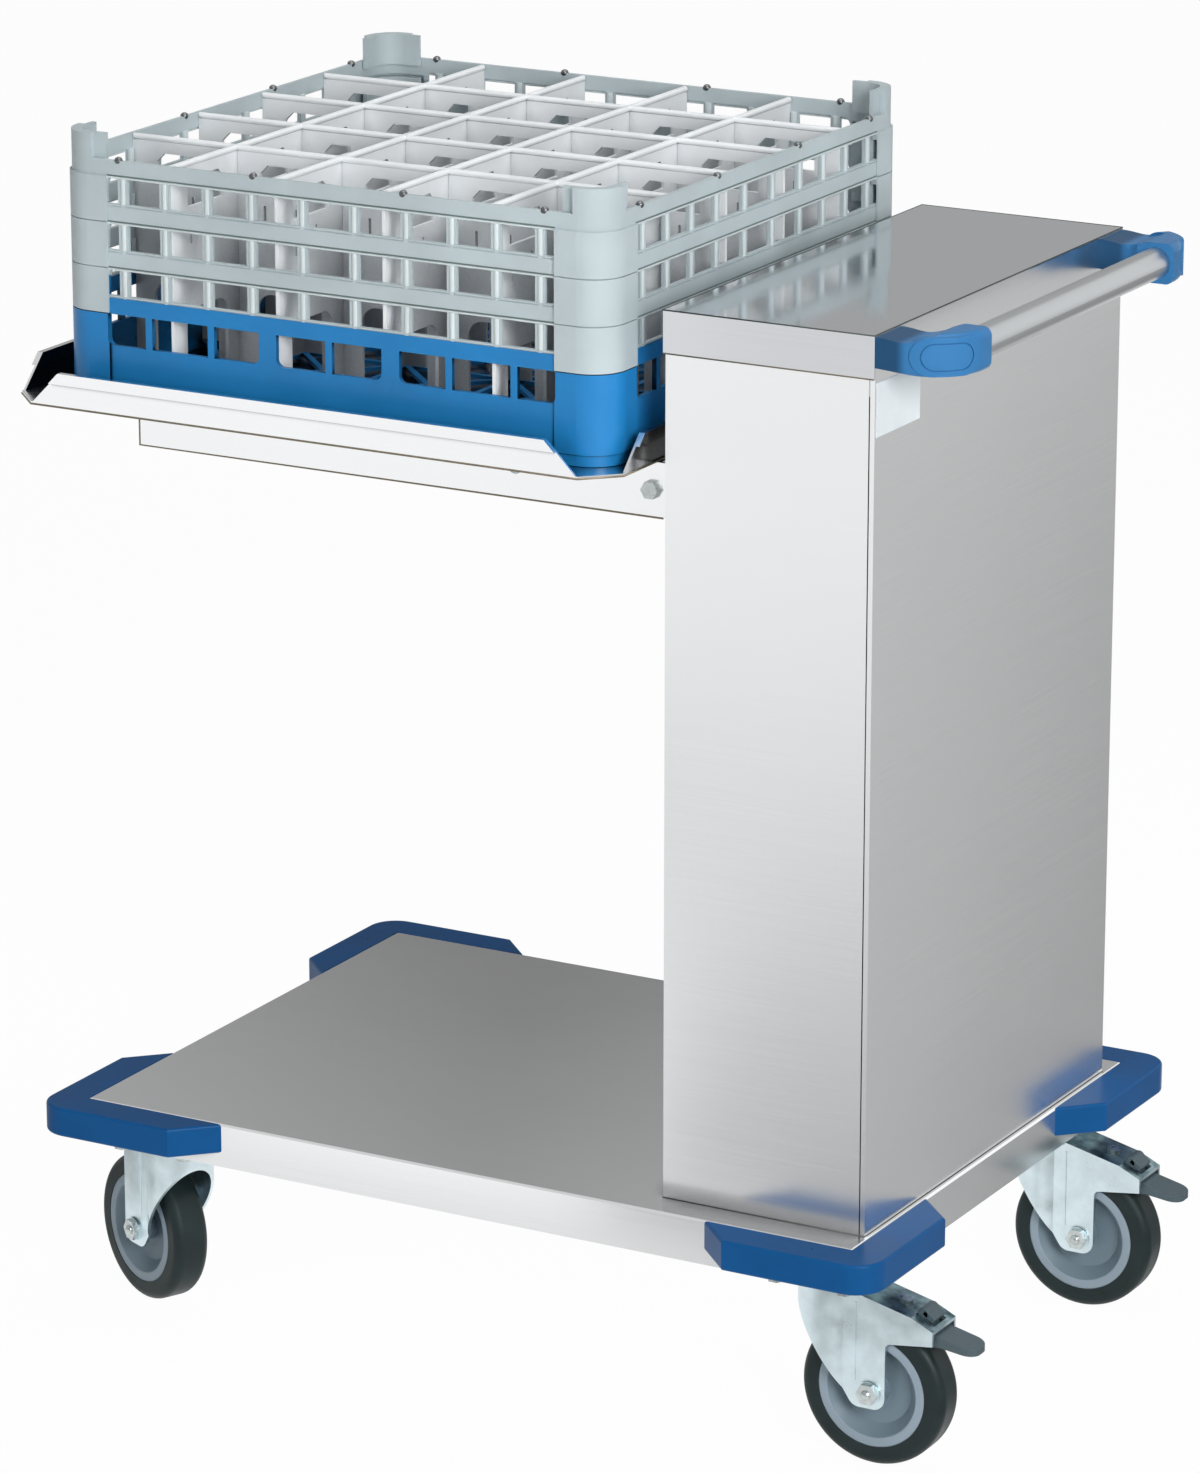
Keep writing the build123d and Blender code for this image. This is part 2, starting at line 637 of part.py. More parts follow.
# Push handle: a tube between two moulded corner brackets, each with an oval boss on its bend
tube_z = column_top - handle_drop
bracket_tip = column_back + handle_reach
tube_x = bracket_tip - handle_tube_setback
bracket_half = bracket_height / 2
bend_x = handle_reach - bracket_bend
bend_y = shell_half - bracket_bend
bend_slant = bracket_bend * math.sqrt(0.5)
arm_y = shell_half - bracket_arm
collar_y = shell_half - bracket_collar
collar_front = handle_reach - 2 * handle_tube_setback
neck_end = handle_reach - bracket_half
boss_radius = bracket_bend + boss_proud
tube_end = collar_y + tube_seat
for side, sign_y in SIDES:
    bend_centre = Vector(column_back + bend_x, sign_y * bend_y, tube_z)
    boss_way = math.radians(boss_turn)
    boss_plane = Plane(
        bend_centre,
        x_dir=(math.cos(boss_way), -sign_y * math.sin(boss_way), 0),
        z_dir=(math.sin(boss_way), sign_y * math.cos(boss_way), 0),
    )
    skin_plane = Plane(bend_centre - Vector(0, 0, bracket_height))
    with BuildPart() as boss_pad:
        with BuildSketch(skin_plane):
            Circle(boss_radius)
            Circle(bracket_bend - bracket_edge, mode=Mode.SUBTRACT)
        extrude(amount=2 * bracket_height)
        with BuildSketch(boss_plane):
            SlotOverall(boss_length, boss_height)
        extrude(amount=2 * bracket_bend, mode=Mode.INTERSECT)
    with BuildPart() as boss_groove:
        with BuildSketch(skin_plane):
            Circle(boss_radius + inlay_groove)
            Circle(boss_radius - inlay_groove, mode=Mode.SUBTRACT)
        extrude(amount=2 * bracket_height)
        with BuildSketch(boss_plane):
            SlotOverall(inlay_length, inlay_height)
            SlotOverall(inlay_length - 2 * inlay_groove, inlay_height - 2 * inlay_groove, mode=Mode.SUBTRACT)
        extrude(amount=2 * bracket_bend, mode=Mode.INTERSECT)
    with BuildPart() as bracket:
        with BuildSketch(Plane((column_back, 0, tube_z - bracket_half))):
            with BuildLine():
                Polyline(
                    (handle_reach, sign_y * bend_y),
                    (handle_reach, sign_y * collar_y),
                    (collar_front, sign_y * collar_y),
                    (collar_front, sign_y * arm_y),
                    (0, sign_y * arm_y),
                    (0, sign_y * shell_half),
                    (bend_x, sign_y * shell_half),
                )
                ThreePointArc(
                    (bend_x, sign_y * shell_half),
                    (bend_x + bend_slant, sign_y * (bend_y + bend_slant)),
                    (handle_reach, sign_y * bend_y),
                )
            make_face()
        extrude(amount=bracket_height, dir=(0, 0, 1))
        rims = bracket.edges().filter_by(lambda edge: abs(edge.tangent_at(0.5).Z) < 0.1)
        outer = [
            edge
            for edge in rims
            if abs(edge.position_at(0.5).Y) > shell_half - 0.1
            or edge.position_at(0.5).X > bracket_tip - 0.1
            or edge.geom_type == GeomType.CIRCLE
        ]
        fillet(outer, bracket_edge)
        neck_plane = Plane((column_back, sign_y * shell_half, tube_z), x_dir=(1, 0, 0), z_dir=(0, -1, 0))
        with BuildSketch(neck_plane):
            with BuildLine():
                Spline(
                    (0, bracket_neck_top),
                    (bend_x, bracket_neck_top - bracket_saddle),
                    (neck_end, bracket_half + bracket_saddle),
                    tangents=((1, 0), (1, 0.3)),
                )
                Polyline(
                    (neck_end, bracket_half + bracket_saddle),
                    (2 * handle_reach, bracket_height),
                    (2 * handle_reach, -bracket_height),
                    (neck_end, -bracket_half - bracket_saddle),
                )
                Spline(
                    (neck_end, -bracket_half - bracket_saddle),
                    (bend_x, -bracket_neck_bottom - bracket_saddle),
                    (0, -bracket_neck_bottom),
                )
                Line((0, -bracket_neck_bottom), (0, bracket_neck_top))
            make_face()
        extrude(amount=bracket_collar, dir=(0, -sign_y, 0), mode=Mode.INTERSECT)
        add(boss_pad.part)
        add(boss_groove.part, mode=Mode.SUBTRACT)
        with BuildSketch(Plane((tube_x, sign_y * collar_y, tube_z), x_dir=(1, 0, 0), z_dir=(0, sign_y, 0))):
            Circle(handle_tube_radius + seat_clearance)
        extrude(amount=tube_seat, mode=Mode.SUBTRACT)
    hand_over(bracket, f"handle_bracket_{side}")

with BuildPart() as handle_tube:
    with BuildSketch(Plane((tube_x, 0, tube_z), x_dir=(1, 0, 0), z_dir=(0, 1, 0))):
        Circle(handle_tube_radius)
        Circle(handle_tube_radius - handle_tube_wall, mode=Mode.SUBTRACT)
    extrude(amount=tube_end - seat_clearance, both=True)
hand_over(handle_tube, "handle_tube")

# Guide rails: channels on the column's sides that the carriage rollers run in
hanger_bottom = column_top - hanger_drop - hanger_sheet
rail_half = roller_radius + rail_play
for side, sign_y in SIDES:
    with BuildPart() as rail:
        with BuildSketch(Plane.XY.offset(deck_top)):
            with Locations((rail_x, sign_y * (shell_inner - rail_depth / 2 - rail_sheet / 2))):
                Rectangle(2 * rail_half + 2 * rail_sheet, rail_depth + rail_sheet)
            with Locations((rail_x, sign_y * (shell_inner - rail_depth / 2 - 1.5 * rail_sheet))):
                Rectangle(2 * rail_half, rail_depth + rail_sheet, mode=Mode.SUBTRACT)
        extrude(amount=hanger_bottom - deck_top)
    hand_over(rail, f"guide_rail_{side}")

# Spring hanger: a lipped shelf across the column's head
spring_ys = [spring_pitch * (k - (spring_count - 1) / 2) for k in range(spring_count)]
hanger_front = rail_x - rail_half
with BuildPart() as spring_hanger:
    with BuildSketch(Plane.XY.offset(hanger_bottom)):
        with Locations((hanger_front + hanger_length / 2, 0)):
            Rectangle(hanger_length, 2 * shell_inner)
    extrude(amount=hanger_sheet)
    with BuildSketch(Plane.XY.offset(hanger_bottom + hanger_sheet)):
        with Locations((hanger_front + hanger_length - rail_sheet / 2, 0)):
            Rectangle(rail_sheet, 2 * shell_inner)
    extrude(amount=hanger_lip)
    with BuildSketch(Plane.XY.offset(hanger_bottom)):
        with Locations(*[(spring_x, y) for y in spring_ys]):
            Circle(spring_stud_radius + seat_clearance)
    extrude(amount=hanger_sheet, mode=Mode.SUBTRACT)
hand_over(spring_hanger, "spring_hanger")

# Carriage: two side plates that reach out through the slots, tied by two bars
carriage_top = platform_height + carriage_above_floor
carriage_bottom = carriage_top - carriage_height
plate_front = shell_front + column_sheet + carriage_clear
tongue_front = shell_front - carriage_tongue
plate_back = spring_x + spring_bar_width / 2 + carriage_lap
tongue_low = platform_under - arm_height + carriage_lap
tongue_high = platform_under - arm_sheet - carriage_lap
roller_zs = (carriage_bottom + roller_margin, carriage_top - roller_margin)
plate_outline = [
    (tongue_front, tongue_low),
    (plate_front, tongue_low),
    (plate_front, carriage_bottom),
    (plate_back, carriage_bottom),
    (plate_back, carriage_bottom + carriage_tail),
    (rail_x + rail_half + roller_margin, carriage_top),
    (plate_front, carriage_top),
    (plate_front, tongue_high),
    (tongue_front, tongue_high),
]
arm_bolt_xs = (shell_front - arm_bolt_front, shell_front + arm_bolt_rear)
arm_bolt_z = platform_under - arm_height / 2
for side, sign_y in SIDES:
    plate_plane = Plane((0, sign_y * plate_inner, 0), x_dir=(1, 0, 0), z_dir=(0, -1, 0))
    with BuildPart() as side_plate:
        with BuildSketch(plate_plane):
            with BuildLine():
                Polyline(*plate_outline, close=True)
            make_face()
            with Locations(*[(rail_x, z) for z in roller_zs]):
                Circle(roller_pin_radius + seat_clearance, mode=Mode.SUBTRACT)
            with Locations(*[(x, arm_bolt_z) for x in arm_bolt_xs]):
                Circle(arm_bolt_radius + seat_clearance, mode=Mode.SUBTRACT)
        extrude(amount=-sign_y * carriage_sheet)
    hand_over(side_plate, f"carriage_plate_{side}")

with BuildPart() as spring_bar:
    with BuildSketch(Plane.XY.offset(carriage_bottom)):
        with Locations((spring_x, 0)):
            Rectangle(spring_bar_width, 2 * plate_inner)
        with Locations(*[(spring_x, y) for y in spring_ys]):
            Circle(spring_stud_radius + resting_gap, mode=Mode.SUBTRACT)
    extrude(amount=spring_bar_sheet)
hand_over(spring_bar, "spring_bar")

with BuildPart() as carriage_tie:
    with BuildSketch(Plane.XY.offset(carriage_top - roller_margin - tie_height)):
        with Locations((rail_x + tie_width / 2 + roller_radius, 0)):
            Rectangle(tie_width, 2 * plate_inner)
    extrude(amount=tie_height)
hand_over(carriage_tie, "carriage_tie")

# Guide rollers and their pins
roller_out = shell_inner - rail_sheet - roller_end_gap
roller_y = roller_out - roller_width / 2
with BuildPart() as roller_pins:
    for side, sign_y in SIDES:
        pin_plane = Plane((0, sign_y * plate_inner, 0), x_dir=(1, 0, 0), z_dir=(0, sign_y, 0))
        with BuildSketch(pin_plane):
            with Locations(*[(rail_x, -sign_y * z) for z in roller_zs]):
                Circle(roller_pin_radius)
        extrude(amount=roller_out - plate_inner)
        with BuildSketch(pin_plane):
            with Locations(*[(rail_x, -sign_y * z) for z in roller_zs]):
                Circle(roller_pin_radius + roller_pin_head)
        extrude(amount=-roller_pin_head)
hand_over(roller_pins, "roller_pins")

for level, roller_z in zip(("lower", "upper"), roller_zs):
    for side, sign_y in SIDES:
        roller_plane = Plane((rail_x, sign_y * roller_y, roller_z), x_dir=(1, 0, 0), z_dir=(0, -1, 0))
        with BuildPart() as roller:
            with BuildSketch(roller_plane):
                Circle(roller_radius)
                Circle(roller_pin_radius + running_clearance, mode=Mode.SUBTRACT)
            extrude(amount=roller_width / 2, both=True)
        hand_over(roller, f"guide_roller_{level}_{side}")

# Arms: angle sections under the tray, bolted to the carriage tongues
arm_front = tray_x - tray_size / 2 + arm_setback
arm_back = shell_front + arm_tail
for side, sign_y in SIDES:
    arm_plane = Plane((arm_front, 0, 0), x_dir=(0, 1, 0), z_dir=(1, 0, 0))
    with BuildPart() as arm:
        with BuildSketch(arm_plane):
            with Locations((sign_y * (arm_outer - arm_sheet / 2), platform_under - arm_height / 2)):
                Rectangle(arm_sheet, arm_height)
            with Locations((sign_y * (arm_outer - arm_flange / 2), platform_under - arm_sheet / 2)):
                Rectangle(arm_flange, arm_sheet)
        extrude(amount=arm_back - arm_front)
        bolt_plane = Plane((0, sign_y * arm_inner, 0), x_dir=(1, 0, 0), z_dir=(0, -1, 0))
        with BuildSketch(bolt_plane):
            with Locations(*[(x, arm_bolt_z) for x in arm_bolt_xs]):
                Circle(arm_bolt_radius + seat_clearance)
        extrude(amount=arm_sheet, both=True, mode=Mode.SUBTRACT)
        tail_plane = Plane.XY.offset(platform_under - arm_sheet)
        with BuildSketch(tail_plane):
            with Locations((shell_front + arm_tail / 2, sign_y * (arm_inner - arm_flange / 2))):
                Rectangle(arm_tail + 2 * tray_gap, arm_flange)
        extrude(amount=arm_sheet, mode=Mode.SUBTRACT)
    hand_over(arm, f"platform_arm_{side}")

with BuildPart() as arm_bolts:
    for side, sign_y in SIDES:
        head_plane = Plane((0, sign_y * arm_outer, 0), x_dir=(1, 0, 0), z_dir=(0, sign_y, 0))
        places = [(x, -sign_y * arm_bolt_z) for x in arm_bolt_xs]
        with BuildSketch(head_plane):
            with Locations(*places):
                RegularPolygon(arm_bolt_across / 2, 6, major_radius=False)
        extrude(amount=arm_bolt_head)
        with BuildSketch(head_plane):
            with Locations(*places):
                Circle(arm_bolt_radius)
        extrude(amount=plate_inner - arm_outer)
        with BuildSketch(head_plane.offset(plate_inner - arm_outer)):
            with Locations(*places):
                RegularPolygon(arm_bolt_across / 2, 6, major_radius=False)
        extrude(amount=-arm_bolt_head)
hand_over(arm_bolts, "arm_bolts")

# Platform tray: a flat floor with cut corners and four upright hemmed flanges
tray_half = tray_size / 2
straight = tray_half - tray_corner
with BuildPart() as platform_tray:
    with BuildSketch(Plane.XY.offset(platform_under)):
        with BuildLine():
            Polyline(
                (tray_x - tray_half, -straight),
                (tray_x - straight, -tray_half),
                (tray_x + straight, -tray_half),
                (tray_x + tray_half, -straight),
                (tray_x + tray_half, straight),
                (tray_x + straight, tray_half),
                (tray_x - straight, tray_half),
                (tray_x - tray_half, straight),
                close=True,
            )
        make_face()
    extrude(amount=tray_sheet)
    for quarter in range(4):
        outward = Vector(math.cos(quarter * math.pi / 2), math.sin(quarter * math.pi / 2), 0)
        flange_plane = Plane(
            Vector(tray_x, 0, platform_under) + outward * tray_half,
            x_dir=(-outward.Y, outward.X, 0),
            z_dir=outward,
        )
        with BuildSketch(flange_plane):
            with BuildLine():
                Polyline(
                    (-straight, 0),
                    (straight, 0),
                    (straight - tray_flange, tray_flange),
                    (tray_flange - straight, tray_flange),
                    close=True,
                )
            make_face()
        extrude(amount=-tray_sheet)
        with BuildSketch(flange_plane):
            with BuildLine():
                Polyline(
                    (tray_flange - hem_height - straight, tray_flange - hem_height),
                    (straight - tray_flange + hem_height, tray_flange - hem_height),
                    (straight - tray_flange, tray_flange),
                    (tray_flange - straight, tray_flange),
                    close=True,
                )
            make_face()
        extrude(amount=hem_proud)
hand_over(platform_tray, "platform_tray")

# Lift springs: extension springs between the hanger and the carriage's spring bar
bar_top = carriage_bottom + spring_bar_sheet
with BuildPart() as lift_springs:
    for y in spring_ys:
        spring_plane = Plane((spring_x, y, 0), x_dir=(1, 0, 0), z_dir=(0, -1, 0))
        with BuildSketch(spring_plane):
            with BuildLine():
                Polyline(
                    (0, carriage_bottom - resting_gap - spring_nut_height),
                    (spring_nut_radius, carriage_bottom - resting_gap - spring_nut_height),
                    (spring_nut_radius, carriage_bottom - resting_gap),
                    (spring_stud_radius, carriage_bottom - resting_gap),
                    (spring_stud_radius, bar_top + spring_plug),
                    (spring_radius, bar_top + spring_plug),
                    (spring_radius, hanger_bottom - spring_plug),
                    (spring_stud_radius, hanger_bottom - spring_plug),
                    (spring_stud_radius, hanger_bottom + hanger_sheet),
                    (spring_nut_radius, hanger_bottom + hanger_sheet),
                    (spring_nut_radius, hanger_bottom + hanger_sheet + spring_nut_height),
                    (0, hanger_bottom + hanger_sheet + spring_nut_height),
                    close=True,
                )
            make_face()
        revolve(axis=Axis((spring_x, y, 0), (0, 0, 1)))
hand_over(lift_springs, "lift_springs")

# Rubber stops above and below the carriage plates
stop_y = (arm_inner + plate_inner) / 2
with BuildPart() as top_stops:
    with Locations(*[(rail_x, sign_y * stop_y, hanger_bottom) for _, sign_y in SIDES]):
        Cylinder(
            buffer_radius,
            hanger_bottom - carriage_top - resting_gap,
            align=(Align.CENTER, Align.CENTER, Align.MAX),
        )
hand_over(top_stops, "top_stops")

with BuildPart() as bottom_stops:
    with Locations(*[(spring_x, sign_y * stop_y, deck_top) for _, sign_y in SIDES]):
        Cylinder(
            buffer_radius,
            carriage_bottom - platform_travel - resting_gap - deck_top,
            align=(Align.CENTER, Align.CENTER, Align.MIN),
        )
hand_over(bottom_stops, "bottom_stops")

# Dish racks: an open base and stacking extenders whose corner skirts slip over the posts below
body_inset = rack_skirt_wall + resting_gap
body_size = rack_size - 2 * body_inset
body_corner = rack_corner - body_inset
inner_size = body_size - 2 * rack_wall
inner_corner = body_corner - rack_wall
opening_half = rack_size / 2 - rack_skirt_leg
seam_drop = rack_band
pillar_offsets = [sign * place for place in pillar_places for sign in (1, -1)]
rack_faces = [
    (Vector(1, 0, 0), Vector(0, -1, 0)),
    (Vector(0, 1, 0), Vector(1, 0, 0)),
    (Vector(-1, 0, 0), Vector(0, 1, 0)),
    (Vector(0, -1, 0), Vector(-1, 0, 0)),
]


def wall_ring():
    """Draw the plan of a rack wall in the current sketch."""
    with Locations((rack_x, 0)):
        RectangleRounded(body_size, body_size, body_corner)
        RectangleRounded(inner_size, inner_size, inner_corner, mode=Mode.SUBTRACT)


def corners_only(ring_size, ring_corner, ring_wall, leg):
    """Draw the four rounded corners of a ring, with straight legs, in the current sketch."""
    hollow_size = ring_size - 2 * ring_wall
    with Locations((rack_x, 0)):
        RectangleRounded(ring_size, ring_size, ring_corner)
        RectangleRounded(hollow_size, hollow_size, ring_corner - ring_wall, mode=Mode.SUBTRACT)
        Rectangle(ring_size - 2 * leg, ring_size + ring_wall, mode=Mode.SUBTRACT)
        Rectangle(ring_size + ring_wall, ring_size - 2 * leg, mode=Mode.SUBTRACT)


def post_plan():
    """Draw the plan of the four stacking posts in the current sketch."""
    corners_only(body_size, body_corner, rack_wall + rack_post_step, rack_post_leg)


def post_step_plan():
    """Draw the plan of the set-back steps beside the stacking posts in the current sketch."""
    step_size = body_size - 2 * rack_post_step
    corners_only(step_size, body_corner - rack_post_step, rack_wall, rack_post_inner_leg - rack_post_step)


post_height = rack_post_root + rack_post_rise
cell_pitch = inner_size / cells_across
floor_top = rack_bottom + rack_floor_lift + rack_floor_sheet
with BuildPart() as rack_base:
    with BuildSketch(Plane.XY.offset(rack_bottom)):
        wall_ring()
    extrude(amount=rack_base_height)
    foot_size = rack_size - 2 * rack_foot_step
    foot_wall = body_inset + rack_wall - rack_foot_step
    with BuildSketch(Plane.XY.offset(rack_bottom)):
        corners_only(foot_size, rack_corner - rack_foot_step, foot_wall, rack_skirt_leg - rack_foot_step)
    extrude(amount=rack_foot)
    with BuildSketch(Plane.XY.offset(rack_bottom + rack_foot)):
        corners_only(rack_size, rack_corner, body_inset + rack_wall, rack_skirt_leg)
    extrude(amount=rack_base_height - seam_drop - rack_foot - rack_seam)
    window_low = rack_base_top - base_window_drop - base_window_height
    pane_edge = base_mullion_place + base_mullion / 2
    panes = (
        (0, 2 * (base_mullion_place - base_mullion / 2)),
        ((base_window_end + pane_edge) / 2, base_window_end - pane_edge),
        (-(base_window_end + pane_edge) / 2, base_window_end - pane_edge),
    )
    for x_dir, outward in rack_faces:
        face_plane = Plane(
            Vector(rack_x, 0, window_low) + outward * (rack_size / 2), x_dir=x_dir, z_dir=outward
        )
        with BuildSketch(face_plane) as base_windows:
            for centre, width in panes:
                with Locations((centre, base_window_height / 2)):
                    Rectangle(width, base_window_height)
            fillet(base_windows.vertices().group_by(Axis.Y)[0], base_window_corner)
            for place in base_rib_places:
                with Locations((place, base_window_height / 2), (-place, base_window_height / 2)):
                    Rectangle(base_rib, 2 * base_window_height, mode=Mode.SUBTRACT)
        extrude(amount=-2 * (body_inset + rack_wall), mode=Mode.SUBTRACT)
    with BuildSketch(Plane.XY.offset(rack_bottom + rack_floor_lift)):
        diagonal = math.sqrt(2) * inner_size
        for step in range(1 - cells_across, cells_across):
            middle = step * cell_pitch / 2
            bar = diagonal - abs(step) * math.sqrt(2) * cell_pitch
            with Locations((rack_x + middle, -middle)):
                Rectangle(bar, rack_floor_rib, rotation=45)
            with Locations((rack_x + middle, middle)):
                Rectangle(bar, rack_floor_rib, rotation=-45)
        with Locations((rack_x, 0)):
            with GridLocations(cell_pitch, 0, cells_across - 1, 1):
                Rectangle(rack_floor_rib, inner_size + rack_wall)
            with GridLocations(0, cell_pitch, 1, cells_across - 1):
                Rectangle(inner_size + rack_wall, rack_floor_rib)
            RectangleRounded(body_size, body_size, body_corner, mode=Mode.INTERSECT)
    extrude(amount=rack_floor_sheet)
    post_plane = Plane.XY.offset(rack_base_top - rack_post_root)
    with BuildSketch(post_plane):
        post_plan()
    extrude(amount=post_height)
    with BuildSketch(post_plane):
        post_step_plan()
    extrude(amount=post_height)
hand_over(rack_base, "rack_base")

for level in range(extender_count):
    low = rack_base_top + level * rack_pitch
    rim_top = low + rack_pitch
    seam = rim_top - seam_drop
    lip_half = opening_half + rack_lip
    window_high = rack_pitch - rack_band
    gusset_arc = [
        (
            opening_half - rack_gusset * (1 - math.cos(math.radians(step))),
            window_high - rack_gusset * (1 - math.sin(math.radians(step))),
        )
        for step in (0, 18, 36, 54, 72, 90)
    ]
    gusset_outline = [(lip_half, window_high), (lip_half, window_high - rack_gusset)] + gusset_arc
    with BuildPart() as extender:
        with BuildSketch(Plane.XY.offset(seam)):
            wall_ring()
        extrude(amount=rack_band)
        for x_dir, outward in rack_faces:
            face_plane = Plane(
                Vector(rack_x, 0, low) + outward * (body_size / 2), x_dir=x_dir, z_dir=outward
            )
            with BuildSketch(face_plane):
                with Locations((0, rack_lip / 2)):
                    Rectangle(2 * lip_half, rack_lip)
                Polygon(*gusset_outline, align=None)
                Polygon(*mirrored(gusset_outline, -1, 1), align=None)
            extrude(amount=-rack_wall)
            with BuildSketch(face_plane.offset(-pillar_setback)):
                with Locations(*[(place, window_high / 2) for place in pillar_offsets]):
                    Rectangle(pillar_width, window_high)
            extrude(amount=pillar_setback - rack_wall)
            with BuildSketch(face_plane):
                with Locations((0, rack_seam / 2)):
                    Rectangle(2 * opening_half, rack_seam)
            extrude(amount=-rack_seam_depth, mode=Mode.SUBTRACT)
        with BuildSketch(Plane.XY.offset(low - seam_drop)):
            corners_only(rack_size, rack_corner, rack_skirt_wall, rack_skirt_leg)
        extrude(amount=rack_pitch - rack_seam)
        with BuildSketch(Plane.XY.offset(seam - rack_seam - rack_shelf)):
            corners_only(rack_size, rack_corner, body_inset + rack_wall, rack_skirt_leg)
        extrude(amount=rack_shelf)
        with BuildSketch(Plane.XY.offset(seam - rack_seam)):
            corners_only(body_size, body_corner, rack_wall, rack_skirt_leg - body_inset)
        extrude(amount=rack_seam)
        post_plane = Plane.XY.offset(rim_top - rack_post_root)
        with BuildSketch(post_plane):
            post_plan()
        extrude(amount=post_height)
        with BuildSketch(post_plane):
            post_step_plan()
        extrude(amount=post_height)
    hand_over(extender, f"rack_extender_{level + 1}")

# Egg-crate dividers: upright plates that slot into each other from above and below
divider_height = rack_top - floor_top
divider_length = inner_size - 2 * divider_clearance
half_lap = divider_height / 2
slot_gap = divider_sheet + 2 * divider_clearance
plate_places = [cell_pitch * (k - (cells_across - 2) / 2) for k in range(cells_across - 1)]
cell_places = [cell_pitch * (k - (cells_across - 1) / 2) for k in range(cells_across)]


slit_places = [cell + place for cell in cell_places for place in divider_slit_places]
window_half = divider_window_width / 2
window_top = divider_height - divider_window_drop
window_foot = window_top - divider_window_height
window_outline = [
    (-window_half, window_foot),
    (window_half, window_foot),
    (window_half, window_top - divider_window_corner),
    (window_half - divider_window_corner, window_top),
    (divider_window_corner - window_half, window_top),
    (-window_half, window_top - divider_window_corner),
]


def divider_plate(lap_low):
    """Draw one divider plate's outline, laps, windows and slits in the current sketch."""
    with Locations((0, divider_height / 2)):
        Rectangle(divider_length, divider_height)
    with Locations(*[(x, lap_low + half_lap / 2) for x in plate_places]):
        Rectangle(slot_gap, half_lap + 2 * divider_clearance, mode=Mode.SUBTRACT)
    with Locations(*[(x, 0) for x in cell_places]):
        Polygon(*window_outline, align=None, mode=Mode.SUBTRACT)
    with Locations(*[(x, divider_height - divider_slit_drop - divider_slit_height / 2) for x in slit_places]):
        Rectangle(divider_slit_width, divider_slit_height, mode=Mode.SUBTRACT)
    with Locations(*[(x, 0) for x in cell_places]):
        RectangleRounded(
            divider_arch_width, 2 * divider_arch_height, divider_arch_corner, mode=Mode.SUBTRACT
        )


with BuildPart() as dividers_long:
    for y in plate_places:
        with BuildSketch(Plane((rack_x, y, floor_top), x_dir=(1, 0, 0), z_dir=(0, -1, 0))):
            divider_plate(half_lap)
        extrude(amount=divider_sheet / 2, both=True)
hand_over(dividers_long, "dividers_long")

with BuildPart() as dividers_cross:
    for x in plate_places:
        with BuildSketch(Plane((rack_x + x, 0, floor_top), x_dir=(0, 1, 0), z_dir=(1, 0, 0))):
            divider_plate(0)
        extrude(amount=divider_sheet / 2, both=True)
hand_over(dividers_cross, "dividers_cross")
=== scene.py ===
"""Studio scene of a self-levelling rack trolley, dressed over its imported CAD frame.

The frame gives every solid in metres, with +X towards the push handle and +Z up. This script
gives each solid its finish, adds the small trim, and sets up the camera, the lamps and the cards
that the sheet metal mirrors.
"""

import json
import logging
import math
from dataclasses import dataclass
from enum import Enum
from typing import ClassVar

import bmesh
import bpy
from mathutils import Color, Matrix, Vector


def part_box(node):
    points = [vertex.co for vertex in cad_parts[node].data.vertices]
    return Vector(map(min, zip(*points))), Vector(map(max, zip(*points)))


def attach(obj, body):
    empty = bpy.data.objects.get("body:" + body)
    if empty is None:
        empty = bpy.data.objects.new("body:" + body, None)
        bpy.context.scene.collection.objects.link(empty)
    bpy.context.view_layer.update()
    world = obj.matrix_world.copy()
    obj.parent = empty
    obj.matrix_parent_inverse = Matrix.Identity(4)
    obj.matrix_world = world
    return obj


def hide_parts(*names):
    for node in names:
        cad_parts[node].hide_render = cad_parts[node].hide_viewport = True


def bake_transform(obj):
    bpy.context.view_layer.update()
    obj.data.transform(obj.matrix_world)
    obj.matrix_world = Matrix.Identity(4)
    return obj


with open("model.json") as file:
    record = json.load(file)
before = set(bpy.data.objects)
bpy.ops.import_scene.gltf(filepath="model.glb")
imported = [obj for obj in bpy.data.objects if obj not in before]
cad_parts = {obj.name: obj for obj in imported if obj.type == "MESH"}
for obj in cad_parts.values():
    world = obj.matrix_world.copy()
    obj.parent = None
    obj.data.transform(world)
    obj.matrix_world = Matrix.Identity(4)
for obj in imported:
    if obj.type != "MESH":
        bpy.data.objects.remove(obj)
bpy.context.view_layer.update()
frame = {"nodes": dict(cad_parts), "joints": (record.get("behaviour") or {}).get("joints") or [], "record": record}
LOG = logging.getLogger("rack_trolley")

Span = tuple[float, float]
Flat = tuple[float, float]
Point = tuple[float, float, float]
Colour = tuple[float, float, float]
Shade = tuple[float, float, float, float]
Path = list[Point]
Seat = tuple[Point, Point]
Node = bpy.types.Node
Socket = bpy.types.NodeSocket
Inputs = dict[str | int, object]
Piece = bpy.types.Object
Solid = bmesh.types.BMesh

UP: Point = (0.0, 0.0, 1.0)
DOWN: Point = (0.0, 0.0, -1.0)
WHITE: Shade = (1.0, 1.0, 1.0, 1.0)
SIDES = ("left", "right")
ROUNDING_STEPS = 3
ROUND_PROFILE = 0.5


def linear(colour: Colour, gain: float = 1.0) -> Shade:
    """Turn display values from 0 to 255 into the linear colour that a shader takes.

    Args:
        colour: Red, green and blue as a screen shows them.
        gain: Factor on the linear values, for a lighter or darker shade.

    Returns:
        Linear red, green, blue and an alpha of 1.
    """
    levels = Color([value / 255 for value in colour]).from_srgb_to_scene_linear()
    red, green, blue = (min(1.0, level * gain) for level in levels)
    return (red, green, blue, 1.0)


